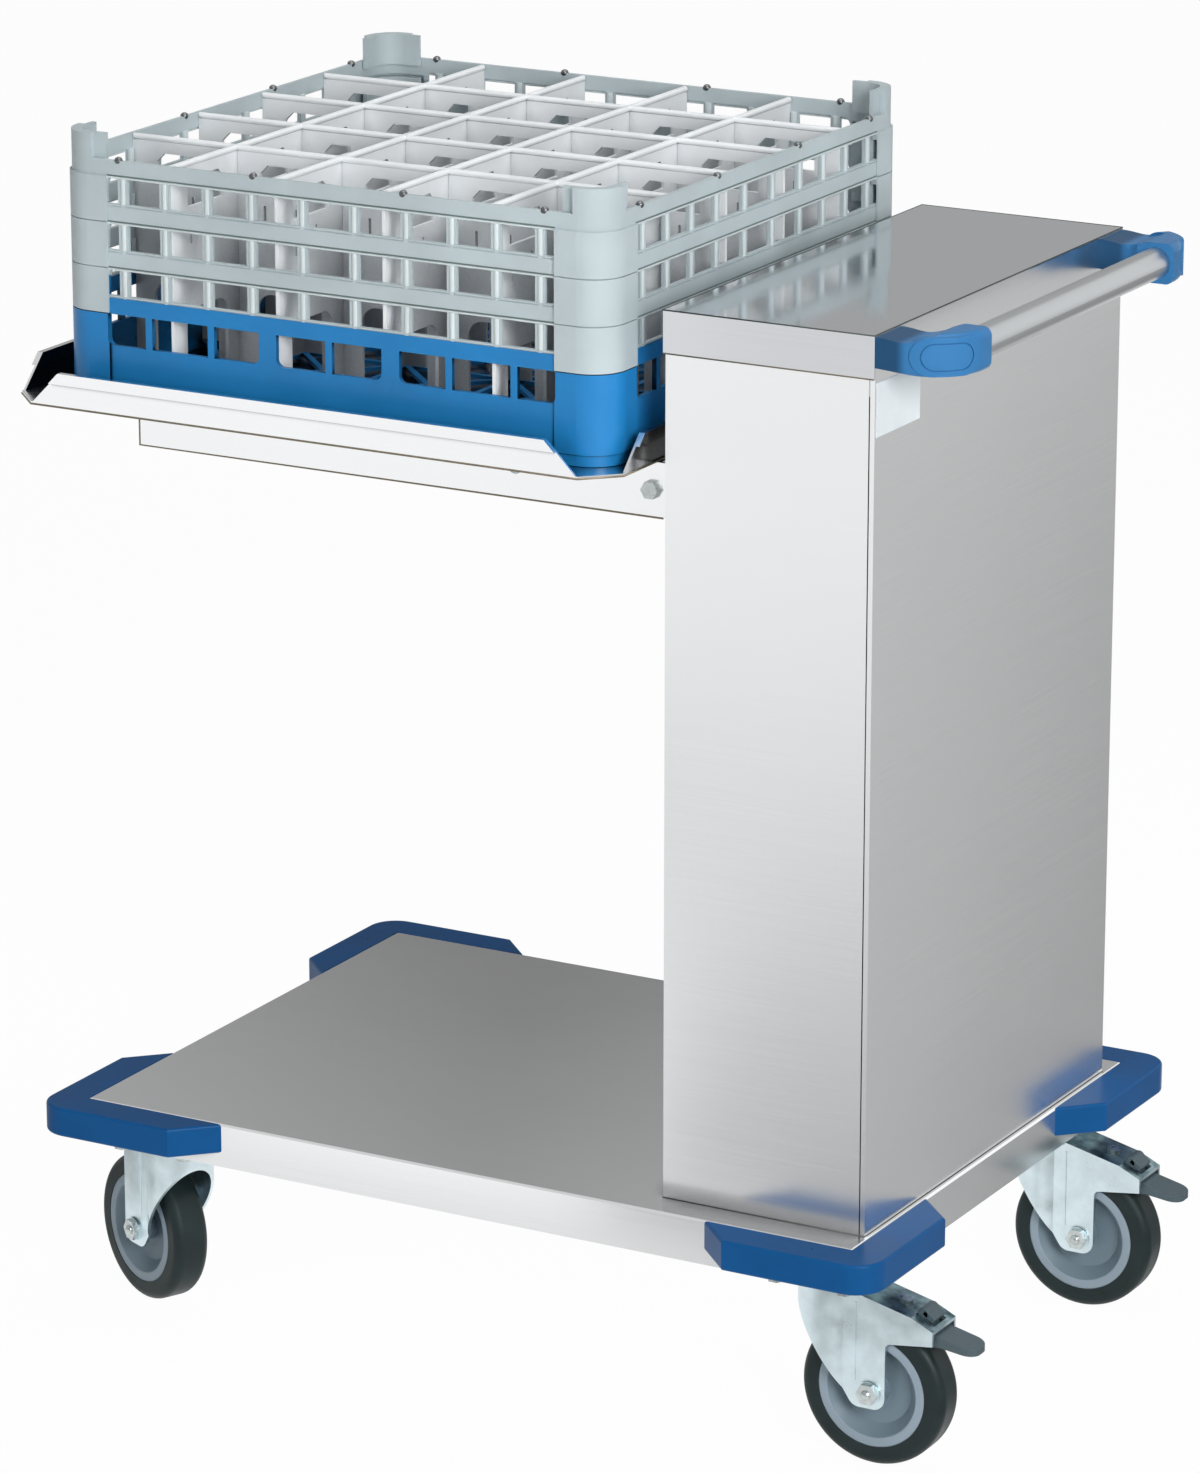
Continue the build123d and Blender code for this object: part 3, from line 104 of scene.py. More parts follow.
def link(name: str, data: bpy.types.ID) -> bpy.types.Object:
    """Put a mesh, a camera or a light in the scene.

    Args:
        name: Name of the object.
        data: What the object shows.

    Returns:
        The object, at the origin.
    """
    obj = bpy.data.objects.new(name, data)
    bpy.context.scene.collection.objects.link(obj)
    return obj


def set_on(piece: Piece, body: str) -> Piece:
    """Let a piece ride on a body.

    Args:
        piece: The finished piece.
        body: The CAD body.

    Returns:
        The same piece.
    """
    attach(piece, body)
    return piece


def joint_named(name: str) -> dict:
    """Find a joint of the frame by its name."""
    return next(joint for joint in frame["joints"] if joint["name"] == name)


def seat_on(node: str, start: Vector, way: Vector) -> Seat:
    """Find where a straight line meets a CAD node.

    Args:
        node: The node's name.
        start: A point outside the node, in metres.
        way: The way that the line runs.

    Returns:
        The point on the node, and the way that its surface faces there.
    """
    graph = bpy.context.evaluated_depsgraph_get()
    _, point, facing, _ = frame["nodes"][node].ray_cast(start, way, depsgraph=graph)
    return tuple(point), tuple(facing)


def ease(solid: Solid, edges: list[bmesh.types.BMEdge], radius: float) -> None:
    """Round edges of a mesh.

    Args:
        solid: The mesh.
        edges: The edges to round.
        radius: Radius in metres.
    """
    bmesh.ops.bevel(
        solid,
        geom=edges,
        offset=radius,
        segments=ROUNDING_STEPS,
        profile=ROUND_PROFILE,
        affect="EDGES",
    )


def rounded_box(low: Point, high: Point, edge: float) -> Solid:
    """Make a box with rounded edges.

    Args:
        low: Lowest corner in metres.
        high: Highest corner in metres.
        edge: Radius of the edges in metres.

    Returns:
        The box as a bmesh.
    """
    solid = bmesh.new()
    size = Vector(high) - Vector(low)
    middle = (Vector(high) + Vector(low)) / 2
    matrix = Matrix.Translation(middle) @ Matrix.Diagonal((*size, 1.0))
    bmesh.ops.create_cube(solid, size=1.0, matrix=matrix)
    ease(solid, solid.edges[:], edge)
    return solid


class Grain(Enum):
    """The way that a sheet was brushed, as the pattern's scale along X, Y and Z per metre."""

    LENGTHWISE = (9.0, 900.0, 900.0)
    CROSSWISE = (900.0, 9.0, 900.0)
    AROUND = (7.0, 7.0, 900.0)


class HeadForm(Enum):
    """The form of a small fastener's head, as the number of its sides."""

    HEX = 6
    DISC = 32
    DOME = 16


class NodeSheet:
    """A node tree that is being filled, with short ways to add and join nodes."""

    # Noise seldom leaves this part of its range, so tones are spread over it alone.
    band: ClassVar[Span] = (0.3, 0.7)

    def __init__(self, tree: bpy.types.NodeTree) -> None:
        """Empty the tree and keep it."""
        self.tree = tree
        tree.nodes.clear()

    def add(self, kind: str, inputs: Inputs | None = None, **settings: object) -> Node:
        """Add a node, set its properties, and set or join its inputs.

        Args:
            kind: Blender's name of the node type.
            inputs: Plain values or other nodes' outputs, by the inputs' names or numbers.
            settings: Properties of the node.

        Returns:
            The new node.
        """
        node = self.tree.nodes.new(kind)
        for name, value in settings.items():
            setattr(node, name, value)
        for key, value in (inputs or {}).items():
            if isinstance(value, Socket):
                self.join(value, node.inputs[key])
            else:
                node.inputs[key].default_value = value
        return node

    def join(self, source: Socket, target: Socket) -> None:
        """Join an output to an input."""
        self.tree.links.new(source, target)

    def remap(
        self, source: Socket, before: Span, after: Span = (0.0, 1.0), run: str = "LINEAR"
    ) -> Socket:
        """Carry values from one range over to another.

        Args:
            source: The values.
            before: The range that they have.
            after: The range that they get.
            run: Blender's word for how they run between the ends.

        Returns:
            The new values.
        """
        inputs = {
            "Value": source,
            "From Min": before[0],
            "From Max": before[1],
            "To Min": after[0],
            "To Max": after[1],
        }
        return self.add("ShaderNodeMapRange", inputs, interpolation_type=run).outputs["Result"]

    def shades(self, source: Socket, dark: Shade, light: Shade) -> Socket:
        """Mix two colours by a pattern.

        Args:
            source: The pattern, from 0 to 1.
            dark: Linear colour where the pattern is dark.
            light: Linear colour where the pattern is light.

        Returns:
            The mixed colour.
        """
        ramp = self.add("ShaderNodeValToRGB", {"Fac": source})
        for stop, place, shade in zip(ramp.color_ramp.elements, self.band, (dark, light)):
            stop.position = place
            stop.color = shade
        return ramp.outputs["Color"]

    def mixed(self, share: Socket, first: Shade | Socket, second: Socket) -> Socket:
        """Mix two colours.

        Args:
            share: How much of the second colour shows, from 0 to 1.
            first: The first colour, plain or patterned.
            second: The second colour.

        Returns:
            The mixed colour.
        """
        inputs = {"Factor": share, "A": first, "B": second}
        return self.add("ShaderNodeMix", inputs, data_type="RGBA").outputs["Result"]

    def maths(self, operation: str, first: Socket, second: Socket | float) -> Socket:
        """Combine two values by one of Blender's operations."""
        return self.add("ShaderNodeMath", {0: first, 1: second}, operation=operation).outputs["Value"]

    def along(self, vector: Socket, axis: str) -> Socket:
        """Take one axis of a vector."""
        return self.add("ShaderNodeSeparateXYZ", {"Vector": vector}).outputs[axis]


@dataclass(frozen=True)
class Pattern:
    """A noise pattern, with its spots per metre and its octaves of finer spots."""

    scale: float
    detail: float

    def drawn(self, sheet: NodeSheet, coords: Socket) -> Socket:
        """Draw the pattern on coordinates, with values from 0 to 1."""
        inputs = {"Vector": coords, "Scale": self.scale, "Detail": self.detail}
        return sheet.add("ShaderNodeTexNoise", inputs).outputs["Fac"]


@dataclass(frozen=True)
class Mottle(Pattern):
    """A pattern that varies a finish.

    Attributes:
        tones: Gains on the colour at the pattern's dark and light ends.
        rough: Shifts of the roughness at the same ends.
    """

    tones: Span = (1.0, 1.0)
    rough: Span = (0.0, 0.0)


@dataclass(frozen=True)
class Relief(Pattern):
    """A pattern that stands out of a surface.

    Attributes:
        weight: How much of the relief shows, from 0 to 1.
        height: Height of the relief in metres.
    """

    weight: float
    height: float

    def bend(self, sheet: NodeSheet, pattern: Socket) -> Socket:
        """Bend the normal by the drawn pattern."""
        inputs = {"Height": pattern, "Strength": self.weight, "Distance": self.height}
        return sheet.add("ShaderNodeBump", inputs).outputs["Normal"]


@dataclass(frozen=True)
class PaintedRecessShade:
    """Painted shade: how a finish's colour is darkened where walls stand close around it.

    Attributes:
        reach: How far off a wall still counts, in metres.
        closed: Share of open view at which the finish is darkest.
        clear: Share of open view from which it has its own colour.
        dark: Gain on the colour at its darkest.
        own: Whether only walls of the same piece count.
    """

    reach: float
    closed: float
    clear: float
    dark: float
    own: bool = True

    rays: ClassVar[int] = 16

    def over(self, sheet: NodeSheet, tones: Socket, colour: Colour) -> Socket:
        """Paint shade into a colour where little of the view is open.

        Args:
            sheet: The material's node sheet.
            tones: The colour in the open.
            colour: The finish's colour as a screen shows it.

        Returns:
            The colour, darker where walls surround it.
        """
        # Painted shade: ambient occlusion darkens the colour itself, where walls stand close.
        distance = {"Distance": self.reach}
        view = sheet.add(
            "ShaderNodeAmbientOcclusion", distance, samples=self.rays, only_local=self.own
        )
        share = sheet.remap(view.outputs["AO"], (self.closed, self.clear))
        return sheet.mixed(share, linear(colour, self.dark), tones)


@dataclass(frozen=True)
class Finish:
    """A finish, with its colour as a screen shows it; each kind has its own patterns.

    Attributes:
        name: Name of the material.
        colour: Red, green and blue from 0 to 255.
        roughness: Middle of the roughness.
        gloss: The shader's specular level.
        painted_shade: Shade painted into its colour between close walls, if any.
    """

    name: str
    colour: Colour
    roughness: float
    gloss: float = 0.5
    painted_shade: PaintedRecessShade | None = None

    metallic: ClassVar[float] = 0.0
    mottle: ClassVar[Mottle]
    relief: ClassVar[Relief | None] = None

    def flow(self, sheet: NodeSheet, coords: Socket) -> Socket:
        """Give the coordinates that the patterns follow."""
        return coords

    def tones(self, sheet: NodeSheet, coords: Socket, pattern: Socket) -> Socket:
        """Vary the colour by the pattern, and paint shade into it between close walls.

        Args:
            sheet: The material's node sheet.
            coords: The object coordinates.
            pattern: The finish's main pattern.

        Returns:
            The colour.
        """
        dark, light = (linear(self.colour, gain) for gain in self.mottle.tones)
        tones = sheet.shades(pattern, dark, light)
        # Painted shade from close walls, where the finish has it.
        return self.painted_shade.over(sheet, tones, self.colour) if self.painted_shade else tones

    def spread(self, sheet: NodeSheet, coords: Socket, pattern: Socket) -> Socket:
        """Vary the roughness by the pattern.

        Args:
            sheet: The material's node sheet.
            coords: The object coordinates.
            pattern: The finish's main pattern.

        Returns:
            The roughness.
        """
        low, high = (self.roughness + shift for shift in self.mottle.rough)
        return sheet.remap(pattern, sheet.band, (low, high))

    def material(self) -> bpy.types.Material:
        """Make the finish's material.

        Returns:
            The material.
        """
        material = bpy.data.materials.new(self.name)
        material.use_nodes = True
        material.diffuse_color = linear(self.colour)
        sheet = NodeSheet(material.node_tree)
        coords = sheet.add("ShaderNodeTexCoord").outputs["Object"]
        flow = self.flow(sheet, coords)
        pattern = self.mottle.drawn(sheet, flow)
        inputs = {
            "Base Color": self.tones(sheet, coords, pattern),
            "Metallic": self.metallic,
            "Roughness": self.spread(sheet, coords, pattern),
            "Specular IOR Level": self.gloss,
        }
        if self.relief:
            inputs["Normal"] = self.relief.bend(sheet, self.relief.drawn(sheet, flow))
        shader = sheet.add("ShaderNodeBsdfPrincipled", inputs)
        sheet.add("ShaderNodeOutputMaterial", {"Surface": shader.outputs["BSDF"]})
        return material


@dataclass(frozen=True)
class BrushedSteel(Finish):
    """Stainless sheet or tube with a fine brushed grain and faint handling marks."""

    grain: Grain = Grain.LENGTHWISE

    metallic: ClassVar[float] = 1.0
    mottle: ClassVar[Mottle] = Mottle(1.0, 3.0, (0.985, 1.01), (-0.012, 0.012))
    marks: ClassVar[Mottle] = Mottle(5.0, 4.0, rough=(-0.01, 0.015))
    relief: ClassVar[Relief] = Relief(1.0, 3.0, 0.03, 0.00002)

    def flow(self, sheet: NodeSheet, coords: Socket) -> Socket:
        """Stretch the coordinates along the grain."""
        inputs = {"Vector": coords, "Scale": self.grain.value}
        return sheet.add("ShaderNodeMapping", inputs).outputs["Vector"]

    def spread(self, sheet: NodeSheet, coords: Socket, pattern: Socket) -> Socket:
        """Add the handling marks to the grain's roughness.

        Args:
            sheet: The material's node sheet.
            coords: The object coordinates.
            pattern: The brushed grain.

        Returns:
            The roughness.
        """
        marks = sheet.remap(self.marks.drawn(sheet, coords), sheet.band, self.marks.rough)
        return sheet.maths("ADD", super().spread(sheet, coords, pattern), marks)


@dataclass(frozen=True)
class ZincPlate(Finish):
    """Pressed steel with a bright zinc coat that clouds in patches, and a painted shade and reflection on upper
    faces.

    Attributes:
        painted_roof_dark: Dark colour of the shade and blue reflection painted on upper faces.
        painted_roof_light: Light colour of the highlight streaks painted in that reflection.
        upright: Upward share of the normal up to which a face stays bright.
        level: Upward share from which the painted reflection covers it all over.
    """

    painted_roof_dark: Colour = (40, 72, 84)
    painted_roof_light: Colour = (158, 184, 190)
    upright: float = 0.50
    level: float = 0.70

    metallic: ClassVar[float] = 1.0
    mottle: ClassVar[Mottle] = Mottle(55.0, 5.0, (0.82, 1.06), (-0.08, 0.08))
    painted_reflection_pattern: ClassVar[Pattern] = Pattern(75.0, 3.0)
    relief: ClassVar[Relief] = Relief(420.0, 2.0, 0.25, 0.00008)

    def tones(self, sheet: NodeSheet, coords: Socket, pattern: Socket) -> Socket:
        """Mix the clouded zinc with a painted shade and reflection on faces that look up.

        Args:
            sheet: The material's node sheet.
            coords: The object coordinates.
            pattern: The clouds of the coat.

        Returns:
            The colour.
        """
        bright = super().tones(sheet, coords, pattern)
        # Painted reflection: dark shade with light highlight streaks, spread by a noise pattern, on faces that
        # look up.
        painted_reflection_pattern = self.painted_reflection_pattern.drawn(sheet, coords)
        painted_roof_reflection = sheet.shades(painted_reflection_pattern, linear(self.painted_roof_dark), linear(self.painted_roof_light))
        facing = sheet.along(sheet.add("ShaderNodeNewGeometry").outputs["Normal"], "Z")
        return sheet.mixed(sheet.remap(facing, (self.upright, self.level)), bright, painted_roof_reflection)


@dataclass(frozen=True)
class Moulding(Finish):
    """Injection-moulded plastic with a fine texture and slow changes of tone."""

    gloss: float = 0.3

    mottle: ClassVar[Mottle] = Mottle(14.0, 3.0, (0.93, 1.07), (-0.05, 0.06))
    relief: ClassVar[Relief] = Relief(900.0, 2.0, 0.15, 0.00006)


@dataclass(frozen=True)
class HandleMoulding(Moulding):
    """Moulding of the handle brackets, with shade painted on the neck at the column.

    Attributes:
        neck: Place along X up to which the painted shade is full.
        boss: Place along X from which it is the finish's own.
        painted_neck_shade: Gain on the colour of the neck, which paints shade on it.
    """

    neck: float = 0.347
    boss: float = 0.357
    painted_neck_shade: float = 0.38

    def tones(self, sheet: NodeSheet, coords: Socket, pattern: Socket) -> Socket:
        """Mix the painted shade of the neck with the colour of the boss.

        Args:
            sheet: The material's node sheet.
            coords: The object coordinates.
            pattern: The slow pattern of the moulding.

        Returns:
            The colour.
        """
        # Painted shade: the neck's colour is darkened by its place along X.
        share = sheet.remap(sheet.along(coords, "X"), (self.neck, self.boss), run="SMOOTHSTEP")
        plain = super().tones(sheet, coords, pattern)
        return sheet.mixed(share, linear(self.colour, self.painted_neck_shade), plain)


@dataclass(frozen=True)
class Rubber(Finish):
    """Soft rubber with dust in its pores and scuffs from rolling."""

    gloss: float = 0.22

    mottle: ClassVar[Mottle] = Mottle(38.0, 6.0, (0.8, 1.25), (-0.08, 0.1))
    relief: ClassVar[Relief] = Relief(700.0, 3.0, 0.3, 0.0001)


@dataclass(frozen=True)
class DrawnSteel(Finish):
    """Drawn or turned steel, such as bolts and spring wire."""

    metallic: ClassVar[float] = 1.0
    mottle: ClassVar[Mottle] = Mottle(180.0, 4.0, (0.75, 1.1), (-0.08, 0.1))


STAINLESS: Colour = (249, 250, 251)
# Painted shade: ambient occlusion darkens the colours of the deck by the column, the tray near the rack, the base
# rack's inside and the dividers' lower parts.
DECK_PAINTED_SHADE = PaintedRecessShade(0.05, 0.42, 0.74, 0.38, own=False)
TRAY_PAINTED_SHADE = PaintedRecessShade(0.06, 0.42, 0.85, 0.05, own=False)
BASE_PAINTED_SHADE = PaintedRecessShade(0.25, 0.62, 0.95, 0.06)
DIVIDER_PAINTED_SHADE = PaintedRecessShade(0.25, 0.02, 0.25, 0.25, own=False)

SHEET_AROUND = BrushedSteel("stainless_around", STAINLESS, 0.24, grain=Grain.AROUND)
SHEET_LENGTHWISE = BrushedSteel("stainless_lengthwise", STAINLESS, 0.19)
SHEET_DECK = BrushedSteel("stainless_deck", STAINLESS, 0.19, painted_shade=DECK_PAINTED_SHADE)
SHEET_TRAY = BrushedSteel("stainless_tray", STAINLESS, 0.19, painted_shade=TRAY_PAINTED_SHADE)
# Painted shade: the lid is the same stainless as the column, in a darker colour.
SHEET_LID = BrushedSteel("stainless_lid", (216, 218, 221), 0.10)
HANDLE_TUBE = BrushedSteel("stainless_tube", (196, 199, 201), 0.34, grain=Grain.CROSSWISE)
# Painted shade: a dark tan copy of the steel for strips along sheet edges, standing in for their dark reflection.
PAINTED_EDGE_SHADE = DrawnSteel("painted_edge_shade", (150, 140, 122), 0.45)
# Painted shadow: a dark copy of the steel for thin lines along the column's foot and the lid's top edge.
PAINTED_SHADOW_LINE = DrawnSteel("seam", (82, 90, 86), 0.5)
PLATE_WHITE = Moulding("plate_white", (236, 243, 245), 0.35)
# Copies of the rack's grey plastic: a dark one paints shadow lines under the bands, a light one paints highlights
# on the lips and the round bars.
RACK_SHADOW_GREY = Moulding("rack_painted_shadow", (104, 122, 120), 0.5)
RACK_HIGHLIGHT_GREY = Moulding("rack_painted_highlight", (216, 226, 228), 0.38)
# The rim band is the rim's own plastic in a lighter copy, a painted light on the ring.
RIM_BAND = Moulding("rim_band", (150, 166, 178), 0.42)

# The finishes of the record's slots; every other slot is lengthwise stainless sheet.
SLOT_FINISHES: dict[str, Finish] = {
    finish.name: finish
    for finish in (
        ZincPlate("zinc_steel", (222, 238, 243), 0.34),
        DrawnSteel("fastener_steel", (205, 212, 212), 0.30),
        DrawnSteel("spring_steel", (118, 120, 122), 0.32),
        Moulding("bumper_blue", (12, 83, 142), 0.32, 0.12),
        HandleMoulding("handle_blue", (56, 122, 178), 0.32, 0.15),
        # The base rack and the dividers have shade painted into their colours in their recesses.
        Moulding("rack_blue", (34, 131, 198), 0.32, painted_shade=BASE_PAINTED_SHADE),
        Moulding("rack_grey", (190, 203, 207), 0.40),
        Moulding("divider_white", (240, 243, 245), 0.45, painted_shade=DIVIDER_PAINTED_SHADE),
        Rubber("tyre_grey", (31, 43, 44), 0.44),
        # Painted shade: the rim's colour is a darker copy of its band's, for the shade in the wheel's dish.
        Moulding("rim_grey", (120, 138, 149), 0.42),
        Moulding("pedal_grey", (78, 94, 100), 0.45),
        Moulding("roller_nylon", (225, 222, 210), 0.5),
        Rubber("stop_rubber", (40, 40, 42), 0.6),
    )
}


class Workshop:
    """Makes each finish's material once, dresses CAD nodes, and turns meshes into pieces."""

    def __init__(self) -> None:
        """Start with no material made."""
        self.made: dict[Finish, bpy.types.Material] = {}

    def paint(self, finish: Finish) -> bpy.types.Material:
        """Give a finish's material, which is made at its first use.

        Args:
            finish: The finish.

        Returns:
            Its material.
        """
        if finish not in self.made:
            self.made[finish] = finish.material()
        return self.made[finish]

    def dress(self, node: str, finish: Finish) -> None:
        """Give a CAD node a finish.

        Args:
            node: The node's name.
            finish: The finish.
        """
        mesh = frame["nodes"][node].data
        mesh.materials.clear()
        mesh.materials.append(self.paint(finish))

    def piece(
        self, name: str, solid: Solid, slot: str, body: str, finish: Finish | None = None
    ) -> Piece:
        """Turn a bmesh in the row frame into a piece.

        Args:
            name: Name of the piece.
            solid: Closed mesh, which is freed here.
            slot: The record's material slot.
            body: The CAD body that the piece rides on.
            finish: A finish of its own, in place of the slot's.

        Returns:
            The new piece.
        """
        bmesh.ops.recalc_face_normals(solid, faces=solid.faces[:])
        mesh = bpy.data.meshes.new(name)
        solid.to_mesh(mesh)
        solid.free()
        mesh.materials.append(self.paint(finish or SLOT_FINISHES[slot]))
        return set_on(link(name, mesh), body)


class PieceTree(NodeSheet):
    """A Geometry Nodes tree with named inputs, which ends in real, painted mesh."""

    def __init__(self, name: str, sizes: tuple[str, ...]) -> None:
        """Open the tree, with inputs for a base mesh, the sizes and the material.

        Args:
            name: Name of the tree.
            sizes: Names of its size inputs.
        """
        super().__init__(bpy.data.node_groups.new(name, "GeometryNodeTree"))
        face = self.tree.interface
        face.new_socket("Base", in_out="INPUT", socket_type="NodeSocketGeometry")
        for size in sizes:
            face.new_socket(size, in_out="INPUT", socket_type="NodeSocketFloat")
        face.new_socket("Material", in_out="INPUT", socket_type="NodeSocketMaterial")
        face.new_socket("Piece", in_out="OUTPUT", socket_type="NodeSocketGeometry")
        self.given = self.add("NodeGroupInput").outputs

    def tube(self, path: Socket, radius: Socket, sides: int) -> Socket:
        """Run a round tube with closed ends along a path.

        Args:
            path: The curve to follow.
            radius: The tube's radius.
            sides: Number of faces around it.

        Returns:
            The tube's mesh.
        """
        ring = self.add("GeometryNodeCurvePrimitiveCircle", {"Resolution": sides, "Radius": radius})
        inputs = {"Curve": path, "Profile Curve": ring.outputs["Curve"], "Fill Caps": True}
        return self.add("GeometryNodeCurveToMesh", inputs).outputs["Mesh"]

    def lifted(self, shape: Socket, height: Socket) -> Socket:
        """Move a centred shape up by half of its height.

        Args:
            shape: The shape's geometry.
            height: The height.

        Returns:
            The moved geometry.
        """
        half = self.maths("MULTIPLY", height, 0.5)
        shift = self.add("ShaderNodeCombineXYZ", {"Z": half}).outputs["Vector"]
        inputs = {"Geometry": shape, "Translation": shift}
        return self.add("GeometryNodeTransform", inputs).outputs["Geometry"]

    def copies(self, shape: Socket, turn: Socket | None = None) -> Socket:
        """Set a copy of a shape on each point of the base mesh.

        Args:
            shape: The shape's geometry.
            turn: The copies' rotation, if they have one.

        Returns:
            The copies.
        """
        inputs = {"Points": self.given["Base"], "Instance": shape}
        if turn:
            inputs["Rotation"] = turn
        return self.add("GeometryNodeInstanceOnPoints", inputs).outputs["Instances"]

    def close(self, shape: Socket, smooth: bool) -> None:
        """End the tree in real mesh with its shading and its material.

        Args:
            shape: The geometry that the tree has made.
            smooth: Whether its faces are shaded smooth.
        """
        real = self.add("GeometryNodeRealizeInstances", {"Geometry": shape})
        inputs = {"Geometry": real.outputs["Geometry"], "Shade Smooth": smooth}
        shaded = self.add("GeometryNodeSetShadeSmooth", inputs)
        inputs = {"Geometry": shaded.outputs["Geometry"], "Material": self.given["Material"]}
        painted = self.add("GeometryNodeSetMaterial", inputs)
        self.add("NodeGroupOutput", {"Piece": painted.outputs["Geometry"]})

    def grow(self, name: str, base: bpy.types.Mesh, values: dict[str, object]) -> Piece:
        """Run the tree over a base mesh, and keep what it makes as a plain mesh.

        Args:
            name: Name of the piece.
            base: Points or edges that the tree builds on, removed here.
            values: Sizes and material, by the inputs' names.

        Returns:
            The piece, with no modifier left on it.
        """
        obj = link(name, base)
        modifier = obj.modifiers.new(name, "NODES")
        modifier.node_group = self.tree
        for item in self.tree.interface.items_tree:
            if item.in_out == "INPUT" and item.name in values:
                modifier[item.identifier] = values[item.name]
        graph = bpy.context.evaluated_depsgraph_get()
        mesh = bpy.data.meshes.new_from_object(obj.evaluated_get(graph))
        obj.modifiers.clear()
        obj.data = mesh
        bpy.data.meshes.remove(base)
        return obj


@dataclass
class HeadPattern:
    """Small fastener heads of one size, set on points of one body by a node tree."""

    name: str
    slot: str
    body: str
    form: HeadForm
    radius: float
    height: float

    def tree(self) -> PieceTree:
        """Build the node tree that sets a head on each point.

        Returns:
            The tree, with inputs for the heads' radius, height and material.
        """
        tree = PieceTree(f"{self.name}_heads", ("Radius", "Height"))
        radius, height = tree.given["Radius"], tree.given["Height"]
        domed = self.form is HeadForm.DOME
        if domed:
            rows = {"Segments": self.form.value, "Rings": self.form.value // 2, "Radius": radius}
            ball = tree.add("GeometryNodeMeshUVSphere", rows).outputs["Mesh"]
            flat = {"X": 1.0, "Y": 1.0, "Z": tree.maths("DIVIDE", height, radius)}
            scale = tree.add("ShaderNodeCombineXYZ", flat).outputs["Vector"]
            inputs = {"Geometry": ball, "Scale": scale}
            head = tree.add("GeometryNodeTransform", inputs).outputs["Geometry"]
        else:
            sizes = {"Vertices": self.form.value, "Radius": radius, "Depth": height}
            disc = tree.add("GeometryNodeMeshCylinder", sizes).outputs["Mesh"]
            head = tree.lifted(disc, height)
        facing = tree.add(
            "GeometryNodeInputNamedAttribute", {"Name": "facing"}, data_type="FLOAT_VECTOR"
        )
        vector = {"Vector": facing.outputs["Attribute"]}
        turn = tree.add("FunctionNodeAlignRotationToVector", vector, axis="Z")
        tree.close(tree.copies(head, turn.outputs["Rotation"]), smooth=domed)
        return tree

    def build(self, shop: Workshop, places: list[Seat]) -> Piece:
        """Set the heads on their places.

        Args:
            shop: The workshop with the materials.
            places: A point of each head's seat, and the way that the head faces.

        Returns:
            The finished piece.
        """
        base = bpy.data.meshes.new(self.name)
        base.from_pydata([point for point, _ in places], [], [])
        facing = base.attributes.new("facing", "FLOAT_VECTOR", "POINT")
        for index, (_, way) in enumerate(places):
            facing.data[index].vector = way
        values = {
            "Radius": self.radius,
            "Height": self.height,
            "Material": shop.paint(SLOT_FINISHES[self.slot]),
        }
        return set_on(self.tree().grow(self.name, base, values), self.body)


@dataclass
class EdgeStrip:
    """A round strip of one thickness that follows edges of one body, made by a node tree."""

    name: str
    slot: str
    body: str
    radius: float

    sides: ClassVar[int] = 12

    def tree(self) -> PieceTree:
        """Build the node tree that runs a round strip along a wire of edges.

        Returns:
            The tree, with inputs for the strip's radius and material.
        """
        tree = PieceTree(f"{self.name}_strip", ("Radius",))
        line = tree.add("GeometryNodeMeshToCurve", {"Mesh": tree.given["Base"]})
        strip = tree.tube(line.outputs["Curve"], tree.given["Radius"], self.sides)
        tree.close(strip, smooth=True)
        return tree

    def build(
        self, shop: Workshop, paths: list[Path], finish: Finish, closed: bool = False
    ) -> Piece:
        """Run the strip along its paths.

        Args:
            shop: The workshop with the materials.
            paths: The corners of each path, in order.
            finish: The strip's finish.
            closed: Whether each path ends where it starts.

        Returns:
            The finished piece.
        """
        points, edges = [], []
        for path in paths:
            first = len(points)
            points.extend(path)
            edges.extend((index, index + 1) for index in range(first, len(points) - 1))
            if closed:
                edges.append((len(points) - 1, first))
        base = bpy.data.meshes.new(self.name)
        base.from_pydata(points, edges, [])
        values = {"Radius": self.radius, "Material": shop.paint(finish)}
        return set_on(self.tree().grow(self.name, base, values), self.body)


@dataclass
class Assembly:
    """A sub-assembly of the trolley, which dresses its CAD nodes and adds its trim."""

    shop: Workshop

    def dress(self) -> None:
        """Leave the nodes in the finishes of their slots."""

    def build(self) -> list[Piece]:
        """Add no trim."""
        return []


